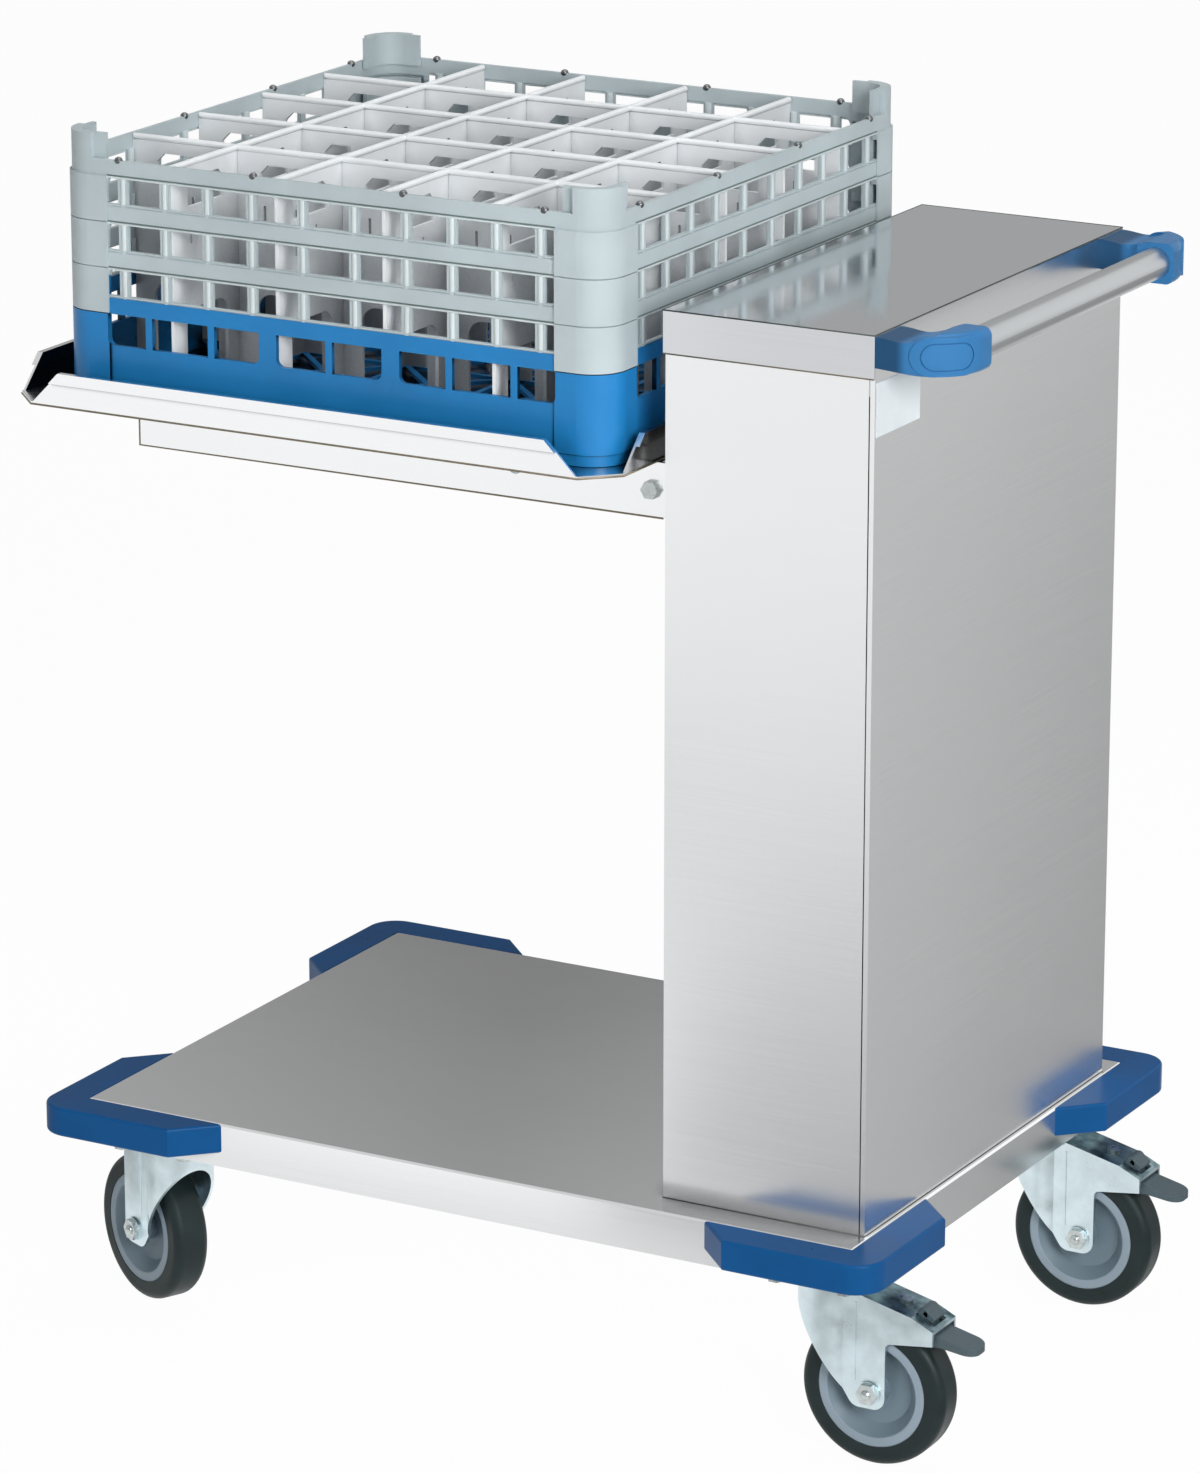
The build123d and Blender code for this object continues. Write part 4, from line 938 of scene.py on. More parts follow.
@dataclass
class Chassis(Assembly):
    """Deck, cross channels and column, with a blank plate on the column and dark strips that paint shade along
    sheet edges.
    """

    plate_width: float = 0.073
    plate_height: float = 0.042
    plate_seat: float = 0.0001
    plate_face: float = 0.0004
    plate_edge: float = 0.00005
    plate_inset: float = 0.0025
    plate_drop: float = 0.036
    seam: float = 0.0006

    def dress(self) -> None:
        """Give the sheets of the deck and the column their brushed finishes."""
        for node in ("column_shell", "rear_panel", "guide_rail_left", "guide_rail_right"):
            self.shop.dress(node, SHEET_AROUND)
        self.shop.dress("deck_pan", SHEET_DECK)
        self.shop.dress("cross_channels", SHEET_LENGTHWISE)
        self.shop.dress("column_lid", SHEET_LID)

    def plate(self) -> Piece:
        """Build the blank plate below the near handle bracket.

        Returns:
            The plate.
        """
        low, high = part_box("rear_panel")
        top = high[2] - self.plate_drop
        near = low[1] + self.plate_inset
        plate = rounded_box(
            (high[0] + self.plate_seat, near, top - self.plate_height),
            (high[0] + self.plate_face, near + self.plate_width, top),
            self.plate_edge,
        )
        return self.shop.piece("column_blank_plate", plate, "divider_white", "chassis", PLATE_WHITE)

    def strip(self, name: str, path: Path, finish: Finish, closed: bool) -> Piece:
        """Run a dark strip along the chassis, which paints shade along an edge."""
        edge = EdgeStrip(name, "stainless", "chassis", self.seam)
        return edge.build(self.shop, [path], finish, closed)

    def build(self) -> list[Piece]:
        """Build the plate, and the edges round the lid and the column's foot.

        Returns:
            The pieces.
        """
        (left, near, skirt), (right, far, top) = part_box("column_lid")
        right -= self.seam / 2
        pieces = [self.plate()]
        # Dark strips round the lid paint shade along its skirt edge and shadow along its top edge.
        for name, level, finish, closed in (
            ("lid_skirt_edge", skirt, PAINTED_EDGE_SHADE, False),
            ("lid_top_edge", top - self.seam / 2, PAINTED_SHADOW_LINE, True),
        ):
            around = ((right, near), (left, near), (left, far), (right, far))
            pieces.append(self.strip(name, [(*spot, level) for spot in around], finish, closed))
        left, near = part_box("column_shell")[0][:2]
        right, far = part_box("rear_panel")[1][:2]
        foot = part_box("deck_pan")[1][2]
        around = ((left, near), (right, near), (right, far), (left, far))
        ring = [(*spot, foot) for spot in around]
        # A dark strip round the column's foot paints its shadow line.
        pieces.append(self.strip("column_foot_seam", ring, PAINTED_SHADOW_LINE, True))
        return pieces


@dataclass
class PushHandle(Assembly):
    """Handle tube between the two moulded brackets."""

    def dress(self) -> None:
        """Give the tube its brushed finish."""
        self.shop.dress("handle_tube", HANDLE_TUBE)


@dataclass
class Platform(Assembly):
    """Tray and arms, with the nuts under the tray and dark strips that paint shade along the edges of its sheets.
    """

    nut_radius: float = 0.0052
    nut_height: float = 0.0042
    nut_inset: float = 0.010
    nut_setback: float = 0.087
    hem_proud: float = 0.003
    corner: float = 0.026
    edge: float = 0.0008
    arm_clear: float = 0.012

    def dress(self) -> None:
        """Give the tray and the arms their brushed finishes."""
        self.shop.dress("platform_tray", SHEET_TRAY)
        for side in SIDES:
            self.shop.dress(f"platform_arm_{side}", SHEET_LENGTHWISE)

    def nuts(self) -> Piece:
        """Build the nuts under the tray.

        Returns:
            The nuts, as one piece.
        """
        low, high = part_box("platform_tray")
        along = high[0] - self.nut_setback
        rows = (low[1] + self.nut_inset, high[1] - self.nut_inset)
        nuts = HeadPattern(
            "tray_nuts", "fastener_steel", "carriage", HeadForm.DOME, self.nut_radius, self.nut_height
        )
        return nuts.build(self.shop, [((along, row, low[2]), DOWN) for row in rows])

    def tray_edge(self) -> Piece:
        """Run a dark strip round the tray's floor and its cut corners, as painted shade along the edge.

        Returns:
            The edge.
        """
        low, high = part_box("platform_tray")
        front, back = low[0] + self.hem_proud, high[0] - self.hem_proud
        half = high[1] - self.hem_proud
        short = half - self.corner
        near_side = [
            (front, -short),
            (front + self.corner, -half),
            (back - self.corner, -half),
            (back, -short),
        ]
        far_side = [(x, -y) for x, y in reversed(near_side)]
        ring = [(x, y, low[2]) for x, y in near_side + far_side]
        strip = EdgeStrip("tray_edge", "stainless", "carriage", self.edge)
        return strip.build(self.shop, [ring], PAINTED_EDGE_SHADE, closed=True)

    def arm_edges(self) -> Piece:
        """Run dark strips down the ends of the arms and back along their feet, as painted shade along the edges.

        Returns:
            The edges of both arms, as one piece.
        """
        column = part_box("column_shell")[0][0]
        paths = []
        for number, side in enumerate(SIDES):
            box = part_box(f"platform_arm_{side}")
            outer = box[number][1]
            tip, foot = box[0][0], box[0][2]
            top = (tip, outer, box[1][2] - self.edge)
            paths.append([top, (tip, outer, foot), (column - self.arm_clear, outer, foot)])
        strip = EdgeStrip("arm_edges", "stainless", "carriage", self.edge)
        return strip.build(self.shop, paths, PAINTED_EDGE_SHADE)

    def build(self) -> list[Piece]:
        """Build the nuts and the bare edges."""
        return [self.nuts(), self.tray_edge(), self.arm_edges()]


@dataclass
class LiftSprings(Assembly):
    """Four coil springs between the hanger and the carriage's spring bar."""

    wire: float = 0.0026
    turns: float = 58.0
    plug_height: float = 0.016
    stud_radius: float = 0.003
    pitch: float = 0.084
    count: int = 4
    turn_steps: int = 20
    wire_sides: int = 8
    stud_sides: int = 16

    def tree(self) -> PieceTree:
        """Build the node tree of one coil with its stud, set on a row of points.

        Returns:
            The tree, with inputs for the coil's sizes and its material.
        """
        sizes = ("Radius", "Wire", "Length", "Turns", "Stud Radius", "Stud Length")
        tree = PieceTree("lift_coils", sizes)
        given = tree.given
        turns = {
            "Resolution": self.turn_steps,
            "Rotations": given["Turns"],
            "Start Radius": given["Radius"],
            "End Radius": given["Radius"],
            "Height": given["Length"],
        }
        coil = tree.add("GeometryNodeCurveSpiral", turns).outputs["Curve"]
        wire = tree.tube(coil, given["Wire"], self.wire_sides)
        inputs = {
            "Vertices": self.stud_sides,
            "Radius": given["Stud Radius"],
            "Depth": given["Stud Length"],
        }
        stud = tree.add("GeometryNodeMeshCylinder", inputs).outputs["Mesh"]
        both = tree.add("GeometryNodeJoinGeometry", {"Geometry": wire})
        tree.join(tree.lifted(stud, given["Length"]), both.inputs["Geometry"])
        tree.close(tree.copies(both.outputs["Geometry"]), smooth=True)
        return tree

    def build(self) -> list[Piece]:
        """Build the coils where the frame has the springs, and hide the frame's springs.

        Returns:
            The four coils, as one piece.
        """
        low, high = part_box("lift_springs")
        bar_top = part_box("spring_bar")[1][2]
        hanger_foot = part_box("spring_hanger")[0][2]
        middle = (high[0] + low[0]) / 2
        foot = bar_top + self.plug_height
        rows = [self.pitch * (number - (self.count - 1) / 2) for number in range(self.count)]
        base = bpy.data.meshes.new("lift_coils")
        base.from_pydata([(middle, row, foot) for row in rows], [], [])
        values = {
            "Radius": (high[0] - low[0]) / 2 - self.wire / 2,
            "Wire": self.wire / 2,
            "Length": hanger_foot - self.plug_height - foot,
            "Turns": self.turns,
            "Stud Radius": self.stud_radius,
            "Stud Length": high[2] - low[2],
            "Material": self.shop.paint(SLOT_FINISHES["spring_steel"]),
        }
        coils = self.tree().grow("lift_coils", base, values)
        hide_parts("lift_springs")
        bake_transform(coils)
        return [coils]


@dataclass
class RackStack(Assembly):
    """Base rack, extenders and dividers, with the beads, joint lines of painted shadow, bars and lips with painted
    highlight, and pins on them.
    """

    pin_radius: float = 0.0034
    pin_height: float = 0.0030
    pin_places: tuple[float, ...] = (0.068, 0.193)
    cells: int = 5
    wall: float = 0.004
    skirt: float = 0.0019
    sheet: float = 0.003
    bead_radius: float = 0.0027
    bead_proud: float = 0.0003
    bead_short: float = 0.0010
    extenders: int = 3
    band: float = 0.012
    post_rise: float = 0.020
    skirt_leg: float = 0.047
    line_radius: float = 0.0006
    lip_radius: float = 0.0010
    lip_sunk: float = 0.0008
    bar_places: tuple[float, ...] = (0.0235, 0.0703, 0.1111, 0.1505, 0.1892)
    bar_setback: float = 0.0012
    bar_radius: float = 0.0030
    bar_proud: float = 0.0010

    def beads(self) -> Piece:
        """Build the round beads along the tops of the divider plates.

        Returns:
            The beads, as one piece.
        """
        low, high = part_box("dividers_long")
        cross_low, cross_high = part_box("dividers_cross")
        level = high[2] - self.bead_radius + self.bead_proud
        step = (high[1] - low[1] - self.sheet) / (self.cells - 2)
        front, back = low[0] + self.bead_short, high[0] - self.bead_short
        near, far = cross_low[1] + self.bead_short, cross_high[1] - self.bead_short
        paths = []
        for number in range(self.cells - 1):
            x = cross_low[0] + self.sheet / 2 + number * step
            y = low[1] + self.sheet / 2 + number * step
            paths.append([(front, y, level), (back, y, level)])
            paths.append([(x, near, level), (x, far, level)])
        beads = EdgeStrip("divider_beads", "divider_white", "rack_stack", self.bead_radius)
        return beads.build(self.shop, paths, SLOT_FINISHES["divider_white"])

    def on_wall(self, quarter: int, along: float, sunk: float, level: float) -> Point:
        """Place a point on one of an extender's four walls.

        Args:
            quarter: The wall's number, counted round the rack.
            along: Distance along the wall from its middle.
            sunk: Depth under the wall's outer face.
            level: Height in metres.

        Returns:
            The point.
        """
        low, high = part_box("rack_extender_1")
        out = (high[1] - low[1]) / 2 - self.skirt - sunk
        spot = Matrix.Rotation(quarter * math.pi / 2, 3, "Z") @ Vector((out, along, 0.0))
        return (spot.x + (low[0] + high[0]) / 2, spot.y, level)

    def walls(self) -> list[Piece]:
        """Build the joint lines of painted shadow, and the lips and rounded bars with painted highlight, on the
        extenders' walls.

        Returns:
            The lines, the lips and the bars, as one piece each.
        """
        low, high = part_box("rack_extender_1")
        leg = (high[1] - low[1]) / 2 - self.skirt_leg
        bar_sunk = self.bar_setback + self.bar_radius - self.bar_proud
        bar_spots = [way * place for place in self.bar_places for way in (-1, 1)]
        lines, lips, bars = [], [], []
        for number in range(1, self.extenders + 1):
            low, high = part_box(f"rack_extender_{number}")
            sill = low[2] + self.band
            head = high[2] - self.post_rise - self.band
            lip = head - self.line_radius - self.lip_radius
            for quarter in range(4):
                lines.append([self.on_wall(quarter, end, 0.0, head) for end in (-leg, leg)])
                lips.append([self.on_wall(quarter, end, self.lip_sunk, lip) for end in (-leg, leg)])
                for spot in bar_spots:
                    bars.append([self.on_wall(quarter, spot, bar_sunk, z) for z in (sill, head)])
        # Dark strips paint shadow lines under the bands; light strips paint highlights on the lips and the bars.
        return [
            EdgeStrip(name, "rack_grey", "rack_stack", radius).build(self.shop, paths, finish)
            for name, radius, paths, finish in (
                ("rack_joint_lines", self.line_radius, lines, RACK_SHADOW_GREY),
                ("rack_band_lips", self.lip_radius, lips, RACK_HIGHLIGHT_GREY),
                ("rack_round_bars", self.bar_radius, bars, RACK_HIGHLIGHT_GREY),
            )
        ]

    def pins(self) -> Piece:
        """Build the pins along the top rim.

        Returns:
            The pins, as one piece.
        """
        low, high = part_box(f"rack_extender_{self.extenders}")
        middle = (low[0] + high[0]) / 2
        half = (high[0] - low[0]) / 2 - self.skirt - self.wall / 2
        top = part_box("dividers_long")[1][2]
        places = []
        for place in self.pin_places:
            for along in (place, -place):
                for side in (half, -half):
                    places.append(((middle + along, side, top), UP))
                    places.append(((middle + side, along, top), UP))
        pins = HeadPattern(
            "rim_pins", "spring_steel", "rack_stack", HeadForm.DOME, self.pin_radius, self.pin_height
        )
        return pins.build(self.shop, places)

    def build(self) -> list[Piece]:
        """Build the divider beads, the trim of the walls, and the pins along the top rim."""
        return [self.beads(), *self.walls(), self.pins()]


@dataclass
class CastorTrim(Assembly):
    """Washers, bolt ends, rim bands and fork creases of the four castors."""

    crease_radius: float = 0.0007
    crease_reach: float = 0.030
    crease_top: float = 0.137
    crease_low: float = 0.072
    crease_steps: int = 8
    nut_height: float = 0.005
    washer_radius: float = 0.0102
    washer_height: float = 0.0014
    end_radius: float = 0.0042
    end_height: float = 0.0028
    band_inner: float = 0.0389
    band_outer: float = 0.0462
    band_seat: float = 0.0153
    band_face: float = 0.0158
    band_edge: float = 0.0006
    band_steps: int = 96

    def band(self, middle: Vector, axis: Vector) -> Solid:
        """Turn a flat band with eased edges about a wheel's axle.

        Args:
            middle: The wheel's middle.
            axis: The way from the wheel to the band's outer face.

        Returns:
            The band as a bmesh.
        """
        shoulder = self.band_face - self.band_edge / 2
        profile = (
            (self.band_inner, self.band_seat),
            (self.band_inner, shoulder),
            (self.band_inner + self.band_edge, self.band_face),
            (self.band_outer - self.band_edge, self.band_face),
            (self.band_outer, shoulder),
            (self.band_outer, self.band_seat),
        )
        upward = Vector(UP)
        across = axis.cross(upward)
        solid = bmesh.new()
        loops = []
        for step in range(self.band_steps):
            turn = 2 * math.pi * step / self.band_steps
            out = math.cos(turn) * across + math.sin(turn) * upward
            spots = [middle + radius * out + height * axis for radius, height in profile]
            loops.append([solid.verts.new(spot) for spot in spots])
        for first, second in zip(loops, loops[1:] + loops[:1]):
            for index in range(len(profile)):
                after = (index + 1) % len(profile)
                solid.faces.new((first[index], first[after], second[after], second[index]))
        return solid

    def creases(self, castor: str, middle: Vector, axis: Vector) -> list[Path]:
        """Follow the pressed crease down each cheek of a fork.

        Args:
            castor: The castor's name.
            middle: The wheel's middle.
            axis: The wheel's axle.

        Returns:
            The crease's points on both cheeks.
        """
        swivel = Vector(joint_named(f"castor_swivel_{castor}")["pos_m"])
        trail = middle - swivel
        trail.z = 0.0
        spot = swivel + self.crease_reach * trail.normalized()
        fall = (self.crease_low - self.crease_top) / self.crease_steps
        paths = []
        for way in (axis, -axis):
            path = []
            for step in range(self.crease_steps + 1):
                spot.z = self.crease_top + fall * step
                path.append(seat_on(f"castor_fork_{castor}", spot + way, -way)[0])
            paths.append(path)
        return paths

    def castor(self, castor: str) -> list[Piece]:
        """Build one castor's rim bands, washers, bolt ends and fork creases.

        Args:
            castor: The castor's name.

        Returns:
            The pieces.
        """
        low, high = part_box("axle_bolt_handle_left")
        reach = (high[1] - low[1]) / 2
        joint = joint_named(f"wheel_spin_{castor}")
        middle = Vector(joint["pos_m"])
        axis = Vector(joint["axis"]).normalized()
        fork, wheel = f"fork_{castor}", f"wheel_{castor}"
        pieces, seats, tips = [], [], []
        for face, way in (("near", axis), ("far", -axis)):
            seats.append((tuple(middle + (reach - self.nut_height) * way), tuple(way)))
            tips.append((tuple(middle + reach * way), tuple(way)))
            # The band is a lighter copy of the rim's plastic: painted light on the ring, against painted shade in
            # the dish.
            band = self.band(middle, way)
            pieces.append(
                self.shop.piece(f"rim_band_{face}_{castor}", band, "rim_grey", wheel, RIM_BAND)
            )
        washer = (HeadForm.DISC, self.washer_radius, self.washer_height)
        washers = HeadPattern(f"axle_washers_{castor}", "zinc_steel", fork, *washer)
        end = (HeadForm.DOME, self.end_radius, self.end_height)
        ends = HeadPattern(f"axle_ends_{castor}", "fastener_steel", fork, *end)
        crease = EdgeStrip(f"fork_creases_{castor}", "zinc_steel", fork, self.crease_radius)
        paths = self.creases(castor, middle, axis)
        pieces.append(washers.build(self.shop, seats))
        pieces.append(ends.build(self.shop, tips))
        pieces.append(crease.build(self.shop, paths, SLOT_FINISHES["zinc_steel"]))
        return pieces

    def build(self) -> list[Piece]:
        """Build every castor's trim.

        Returns:
            The pieces.
        """
        pieces = []
        for end in ("handle", "load"):
            for side in SIDES:
                pieces.extend(self.castor(f"{end}_{side}"))
        return pieces


@dataclass
class BrakedCastor(Assembly):
    """Hood bolt, release button and knuckle of the two castors with a brake."""

    bolt_radius: float = 0.0058
    bolt_height: float = 0.0036
    bolt_reach: float = 0.0635
    button_length: float = 0.0120
    button_width: float = 0.0190
    button_height: float = 0.0056
    button_slope: float = 36.0
    button_place: Point = (0.0038, 0.0, 0.0124)
    knuckle_radius: float = 0.0052
    knuckle_place: Point = (-0.0008, 0.0, 0.0138)
    knuckle_sides: int = 24
    edge: float = 0.0012

    def bolt(self, side: str) -> Piece:
        """Build the bolt on a fork's hood.

        Args:
            side: The castor's side.

        Returns:
            The bolt's head.
        """
        swivel = joint_named(f"castor_swivel_handle_{side}")["pos_m"]
        above = Vector((swivel[0] + self.bolt_reach, swivel[1], 1.0))
        seat = seat_on(f"castor_fork_handle_{side}", above, Vector(DOWN))
        head = (HeadForm.HEX, self.bolt_radius, self.bolt_height)
        bolt = HeadPattern(f"hood_bolt_{side}", "fastener_steel", f"fork_handle_{side}", *head)
        return bolt.build(self.shop, [seat])

    def button(self, pivot: Vector) -> Solid:
        """Make the sloping release button.

        Args:
            pivot: A point of the brake's pivot.

        Returns:
            The button as a bmesh.
        """
        half = Vector((self.button_length, self.button_width, self.button_height)) / 2
        solid = rounded_box(tuple(-half), tuple(half), self.edge)
        slope = Matrix.Rotation(math.radians(self.button_slope), 4, "Y")
        place = Matrix.Translation(pivot + Vector(self.button_place))
        bmesh.ops.transform(solid, matrix=place @ slope, verts=solid.verts[:])
        return solid

    def knuckle(self, pivot: Vector) -> Solid:
        """Make the round knuckle that the button stands on.

        Args:
            pivot: A point of the brake's pivot.

        Returns:
            The knuckle as a bmesh.
        """
        solid = bmesh.new()
        place = Matrix.Translation(pivot + Vector(self.knuckle_place))
        bmesh.ops.create_cone(
            solid,
            cap_ends=True,
            segments=self.knuckle_sides,
            radius1=self.knuckle_radius,
            radius2=self.knuckle_radius,
            depth=self.button_width,
            matrix=place @ Matrix.Rotation(math.pi / 2, 4, "X"),
        )
        ends = [face for face in solid.faces if len(face.verts) == self.knuckle_sides]
        ease(solid, [edge for face in ends for edge in face.edges], self.edge)
        return solid

    def build(self) -> list[Piece]:
        """Build each hood's bolt, and the button with its knuckle on the brake rocker's tab.

        Returns:
            The pieces.
        """
        pieces = []
        for side in SIDES:
            pivot = Vector(joint_named(f"brake_press_{side}")["pos_m"])
            pieces.append(self.bolt(side))
            for name, solid in (
                (f"brake_button_{side}", self.button(pivot)),
                (f"brake_knuckle_{side}", self.knuckle(pivot)),
            ):
                pieces.append(self.shop.piece(name, solid, "pedal_grey", f"pedal_{side}"))
        return pieces


@dataclass(frozen=True)
class Card:
    """A grey card that only mirror-like surfaces see.

    Attributes:
        name: Name of the card.
        corners: Its corners in metres, in order.
        way: The way that its fade runs along.
        reach: Where the fade starts and ends on that way.
        tones: Brightness at the fade's start and end.
    """

    name: str
    corners: list[Point]
    way: Point
    reach: Span
    tones: Span


@dataclass(frozen=True)
class Lamp:
    """A square soft box.

    Attributes:
        name: Name of the lamp.
        place: Where it hangs, in metres.
        aim: The point that it faces.
        size: Side of its square in metres.
        power: Power in watts.
        mirrored: Whether glossy surfaces show it.
    """

    name: str
    place: Point
    aim: Point
    size: float
    power: float
    mirrored: bool = True


def laid(level: float, *spots: Flat) -> list[Point]:
    """Give the corners of a card that lies level."""
    return [(x, y, level) for x, y in spots]


def oblong(low: Flat, high: Flat, level: float) -> list[Point]:
    """Give the corners of an oblong that lies level."""
    return laid(level, low, (high[0], low[1]), high, (low[0], high[1]))


def stood(first: Flat, second: Flat, foot: float, head: float) -> list[Point]:
    """Give the corners of a card that stands between two spots of the floor."""
    return [(*first, foot), (*second, foot), (*second, head), (*first, head)]


# The cards lie just over the floor, or stand well away from the trolley.
ON_FLOOR = 0.003
ALONG: Point = (1.0, 0.0, 0.0)
ACROSS: Point = (0.0, 1.0, 0.0)
FRONT_CORNERS = laid(
    ON_FLOOR,
    (0.055, -0.45),
    (1.125, -0.45),
    (-0.83, -4.2),
    (-1.93, -4.2),
    (-0.11, -0.66),
    (0.055, -0.66),
)
CARDS = (
    Card(
        "card_behind_left",
        stood((-5.0, 2.6), (-1.58, 2.6), 0.0, 3.2),
        (-0.5, 0.0, 1.0), (1.8, 2.7), (0.155, 0.40),
    ),
    Card(
        "card_behind_right",
        stood((-1.58, 2.6), (0.2, 2.6), 0.0, 3.2),
        (0.5, 0.0, 1.0), (0.3, 0.9), (0.155, 0.44),
    ),
    Card(
        "card_right",
        oblong((0.45, -0.5), (4.5, 5.0), ON_FLOOR),
        (0.548, -0.216, 0.0), (0.11, 0.41), (0.28, 0.56),
    ),
    Card(
        "card_right_near",
        laid(ON_FLOOR, (1.2, -0.5), (4.5, -0.5), (4.5, -3.2), (0.0, -3.2)),
        ALONG, (0.6, 3.0), (0.66, 0.52),
    ),
    Card(
        "card_front",
        FRONT_CORNERS,
        (1.67, 1.0, 0.0), (-0.75, -3.6), (0.42, 0.88),
    ),
    Card(
        "card_skirt",
        oblong((-0.9, -0.655), (0.05, -0.42), ON_FLOOR),
        ALONG, (-0.9, 0.0), (0.79, 0.76),
    ),
    Card(
        "card_left",
        stood((-8.0, -5.0), (0.5, -5.0), 0.6, 4.0),
        UP, (0.6, 4.0), (0.24, 0.28),
    ),
    Card(
        "card_load_floor",
        oblong((-3.6, -1.9), (-0.6, 1.9), 0.002),
        ALONG, (-2.6, -0.8), (0.80, 0.52),
    ),
    Card(
        "card_load_wall",
        stood((-5.6, -3.2), (-5.6, 2.4), 0.2, 4.5),
        UP, (0.2, 3.5), (0.60, 0.40),
    ),
    Card(
        "card_front_wall",
        stood((0.6, -5.0), (6.5, -5.0), 0.3, 5.0),
        UP, (0.5, 4.0), (0.58, 0.42),
    ),
    Card(
        "card_right_wall",
        stood((6.5, -5.0), (6.5, 3.0), 0.3, 5.0),
        UP, (0.5, 4.0), (0.58, 0.42),
    ),
    Card(
        "card_ceiling",
        oblong((-4.0, -3.0), (4.0, 5.0), 5.0),
        ACROSS, (-3.0, 5.0), (0.62, 0.46),
    ),
)
LAMPS = (
    Lamp("key", (3.4, -2.7, 2.2), (0.0, 0.0, 0.6), 1.8, 130.0),
    Lamp("fill", (-0.6, -4.4, 1.8), (0.0, 0.0, 0.6), 1.6, 30.0, mirrored=False),
    Lamp("top", (0.2, 0.2, 3.6), (0.0, 0.0, 0.5), 2.4, 45.0),
)


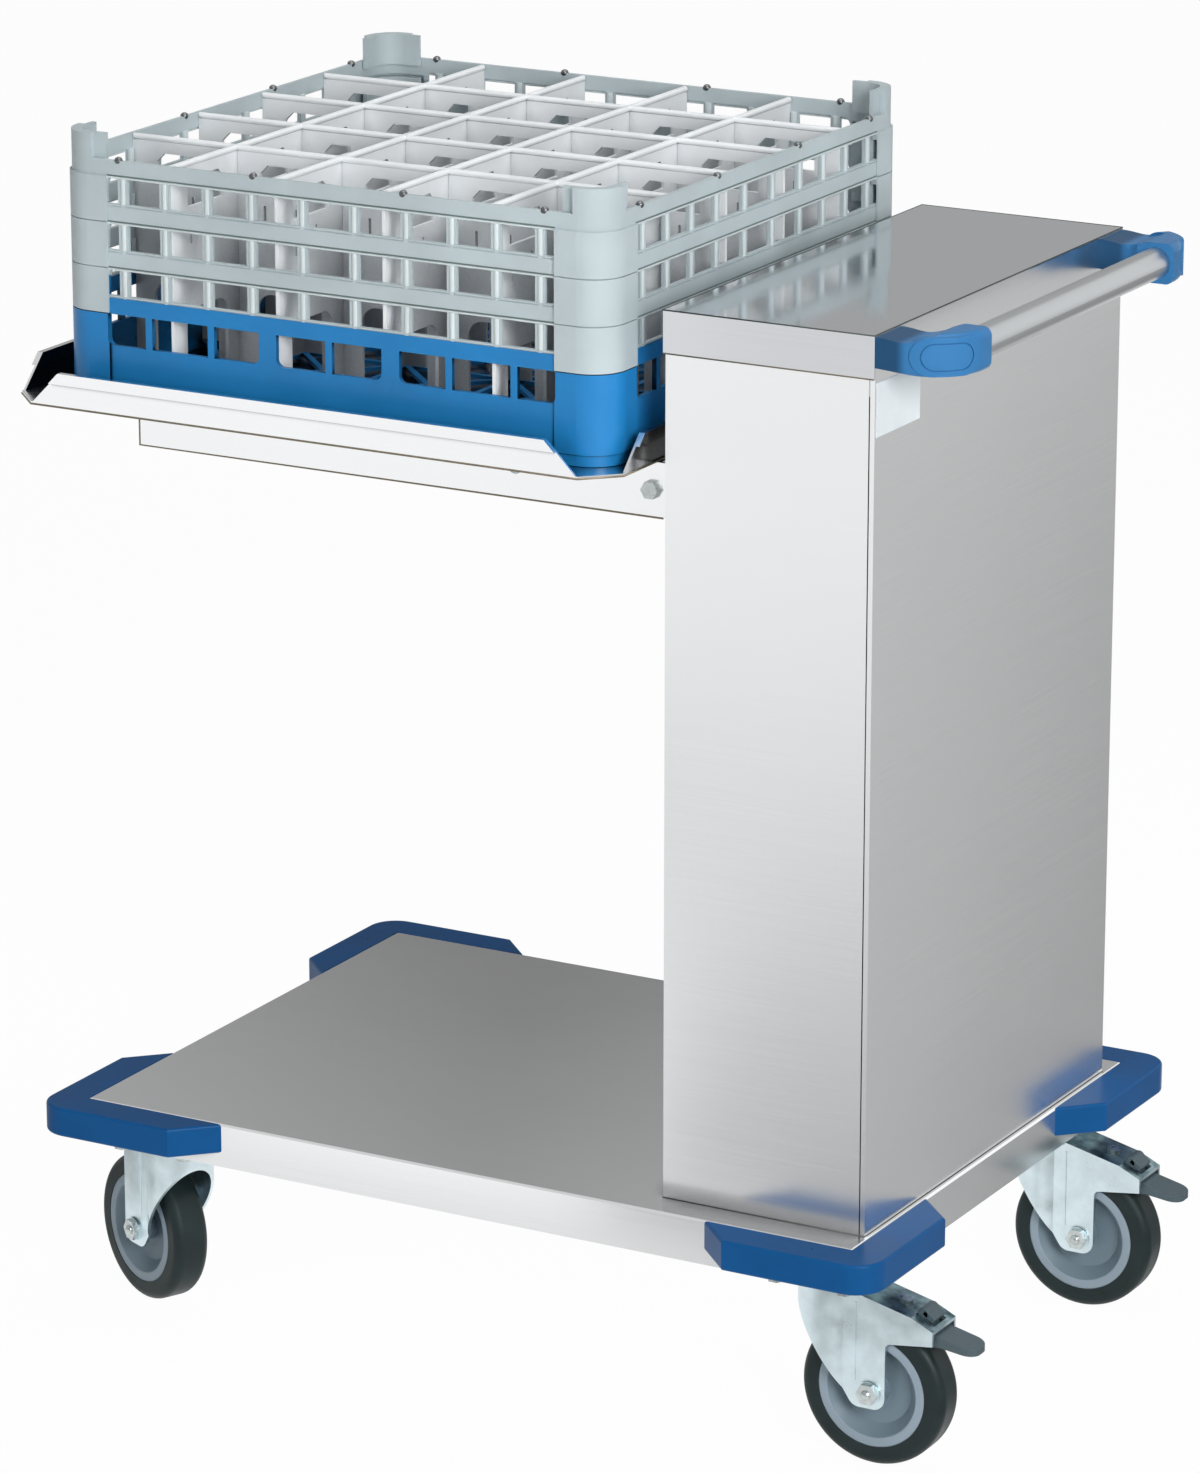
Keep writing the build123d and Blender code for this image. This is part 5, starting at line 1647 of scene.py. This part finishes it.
@dataclass
class Studio:
    """Camera, lamps, floor and the cards that the sheet metal mirrors."""

    eye: Point = (2.4190, -4.3784, 1.9939)
    pitch: float = 16.67
    yaw: float = 29.19
    lens: float = 156.09
    sensor: float = 36.0
    floor_size: float = 40.0
    floor_shade: Shade = (0.92, 0.92, 0.92, 1.0)
    floor_glow: float = 0.97
    ambient: float = 0.14

    def camera(self) -> None:
        """Set up the camera at the photograph's viewing angle."""
        data = bpy.data.cameras.new("photo_camera")
        data.lens = self.lens
        data.sensor_width = self.sensor
        data.sensor_fit = "AUTO"
        camera = link("photo_camera", data)
        camera.location = self.eye
        camera.rotation_euler = (math.radians(90 - self.pitch), 0.0, math.radians(self.yaw))
        bpy.context.scene.camera = camera

    def backdrop_rays(self, sheet: NodeSheet) -> Socket:
        """Tell the rays that see the backdrop from those that gather soft light.

        Args:
            sheet: The node sheet of the world or the floor.

        Returns:
            1 for camera, glossy and transmission rays, and 0 for the rest.
        """
        rays = sheet.add("ShaderNodeLightPath").outputs
        seen = sheet.maths("MAXIMUM", rays["Is Camera Ray"], rays["Is Glossy Ray"])
        return sheet.maths("MAXIMUM", seen, rays["Is Transmission Ray"])

    def surroundings(self) -> None:
        """Make the white surroundings and their soft light."""
        world = bpy.data.worlds.new("studio")
        world.use_nodes = True
        bpy.context.scene.world = world
        sheet = NodeSheet(world.node_tree)
        soft = sheet.add("ShaderNodeBackground", {"Color": WHITE, "Strength": self.ambient})
        white = sheet.add("ShaderNodeBackground", {"Color": WHITE})
        shaders = {1: soft.outputs["Background"], 2: white.outputs["Background"]}
        mix = sheet.add("ShaderNodeMixShader", {"Fac": self.backdrop_rays(sheet), **shaders})
        sheet.add("ShaderNodeOutputWorld", {"Surface": mix.outputs["Shader"]})

    def plane(self, name: str, corners: list[Point]) -> tuple[bpy.types.Object, NodeSheet]:
        """Make a flat stage object with an empty material.

        Args:
            name: Name of the object and its material.
            corners: Its corners in metres, in order.

        Returns:
            The object, and the node sheet of its material.
        """
        mesh = bpy.data.meshes.new(name)
        mesh.from_pydata(corners, [], [tuple(range(len(corners)))])
        material = bpy.data.materials.new(name)
        material.use_nodes = True
        mesh.materials.append(material)
        obj = link(name, mesh)
        return obj, NodeSheet(material.node_tree)

    def floor(self) -> None:
        """Lay the pale floor, which keeps a soft shadow."""
        half = self.floor_size / 2
        _, sheet = self.plane("floor", oblong((-half, -half), (half, half), 0.0))
        paper = sheet.add("ShaderNodeBsdfDiffuse", {"Color": self.floor_shade})
        glow = sheet.add("ShaderNodeEmission")
        share = sheet.maths("MULTIPLY", self.backdrop_rays(sheet), self.floor_glow)
        shaders = {1: paper.outputs["BSDF"], 2: glow.outputs["Emission"]}
        mix = sheet.add("ShaderNodeMixShader", {"Fac": share, **shaders})
        sheet.add("ShaderNodeOutputMaterial", {"Surface": mix.outputs["Shader"]})

    def stand(self, card: Card) -> None:
        """Set up a card, which neither lights the trolley nor shows itself.

        Args:
            card: The card.
        """
        obj, sheet = self.plane(card.name, card.corners)
        obj.visible_camera = False
        obj.visible_diffuse = False
        obj.visible_shadow = False
        obj.visible_transmission = False
        coords = sheet.add("ShaderNodeTexCoord").outputs["Object"]
        along = sheet.add("ShaderNodeVectorMath", {0: coords, 1: card.way}, operation="DOT_PRODUCT")
        fade = sheet.remap(along.outputs["Value"], card.reach, card.tones)
        glow = sheet.add("ShaderNodeEmission", {"Strength": fade})
        sheet.add("ShaderNodeOutputMaterial", {"Surface": glow.outputs["Emission"]})

    def hang(self, lamp: Lamp) -> None:
        """Hang a lamp.

        Args:
            lamp: The lamp.
        """
        data = bpy.data.lights.new(lamp.name, "AREA")
        data.size = lamp.size
        data.energy = lamp.power
        obj = link(lamp.name, data)
        obj.location = lamp.place
        obj.visible_glossy = lamp.mirrored
        aim = Vector(lamp.aim) - Vector(lamp.place)
        obj.rotation_euler = aim.to_track_quat("-Z", "Y").to_euler()

    def build(self) -> None:
        """Set up everything around the trolley."""
        bpy.context.scene.view_settings.view_transform = "Standard"
        self.camera()
        self.surroundings()
        self.floor()
        for card in CARDS:
            self.stand(card)
        for lamp in LAMPS:
            self.hang(lamp)


def main() -> None:
    """Dress the frame's nodes, build the trim, and set up the studio."""
    logging.basicConfig(level=logging.INFO, format="%(name)s: %(message)s")
    shop = Workshop()
    for part in frame["record"]["subparts"]:
        shop.dress(part["node"], SLOT_FINISHES.get(part["material_slot"], SHEET_LENGTHWISE))
    for kind in (Chassis, PushHandle, Platform, LiftSprings, RackStack, CastorTrim, BrakedCastor):
        assembly = kind(shop)
        assembly.dress()
        for piece in assembly.build():
            LOG.info("%s: piece %s, %d faces", kind.__name__, piece.name, len(piece.data.polygons))
    Studio().build()


if __name__ == "__main__":
    main()
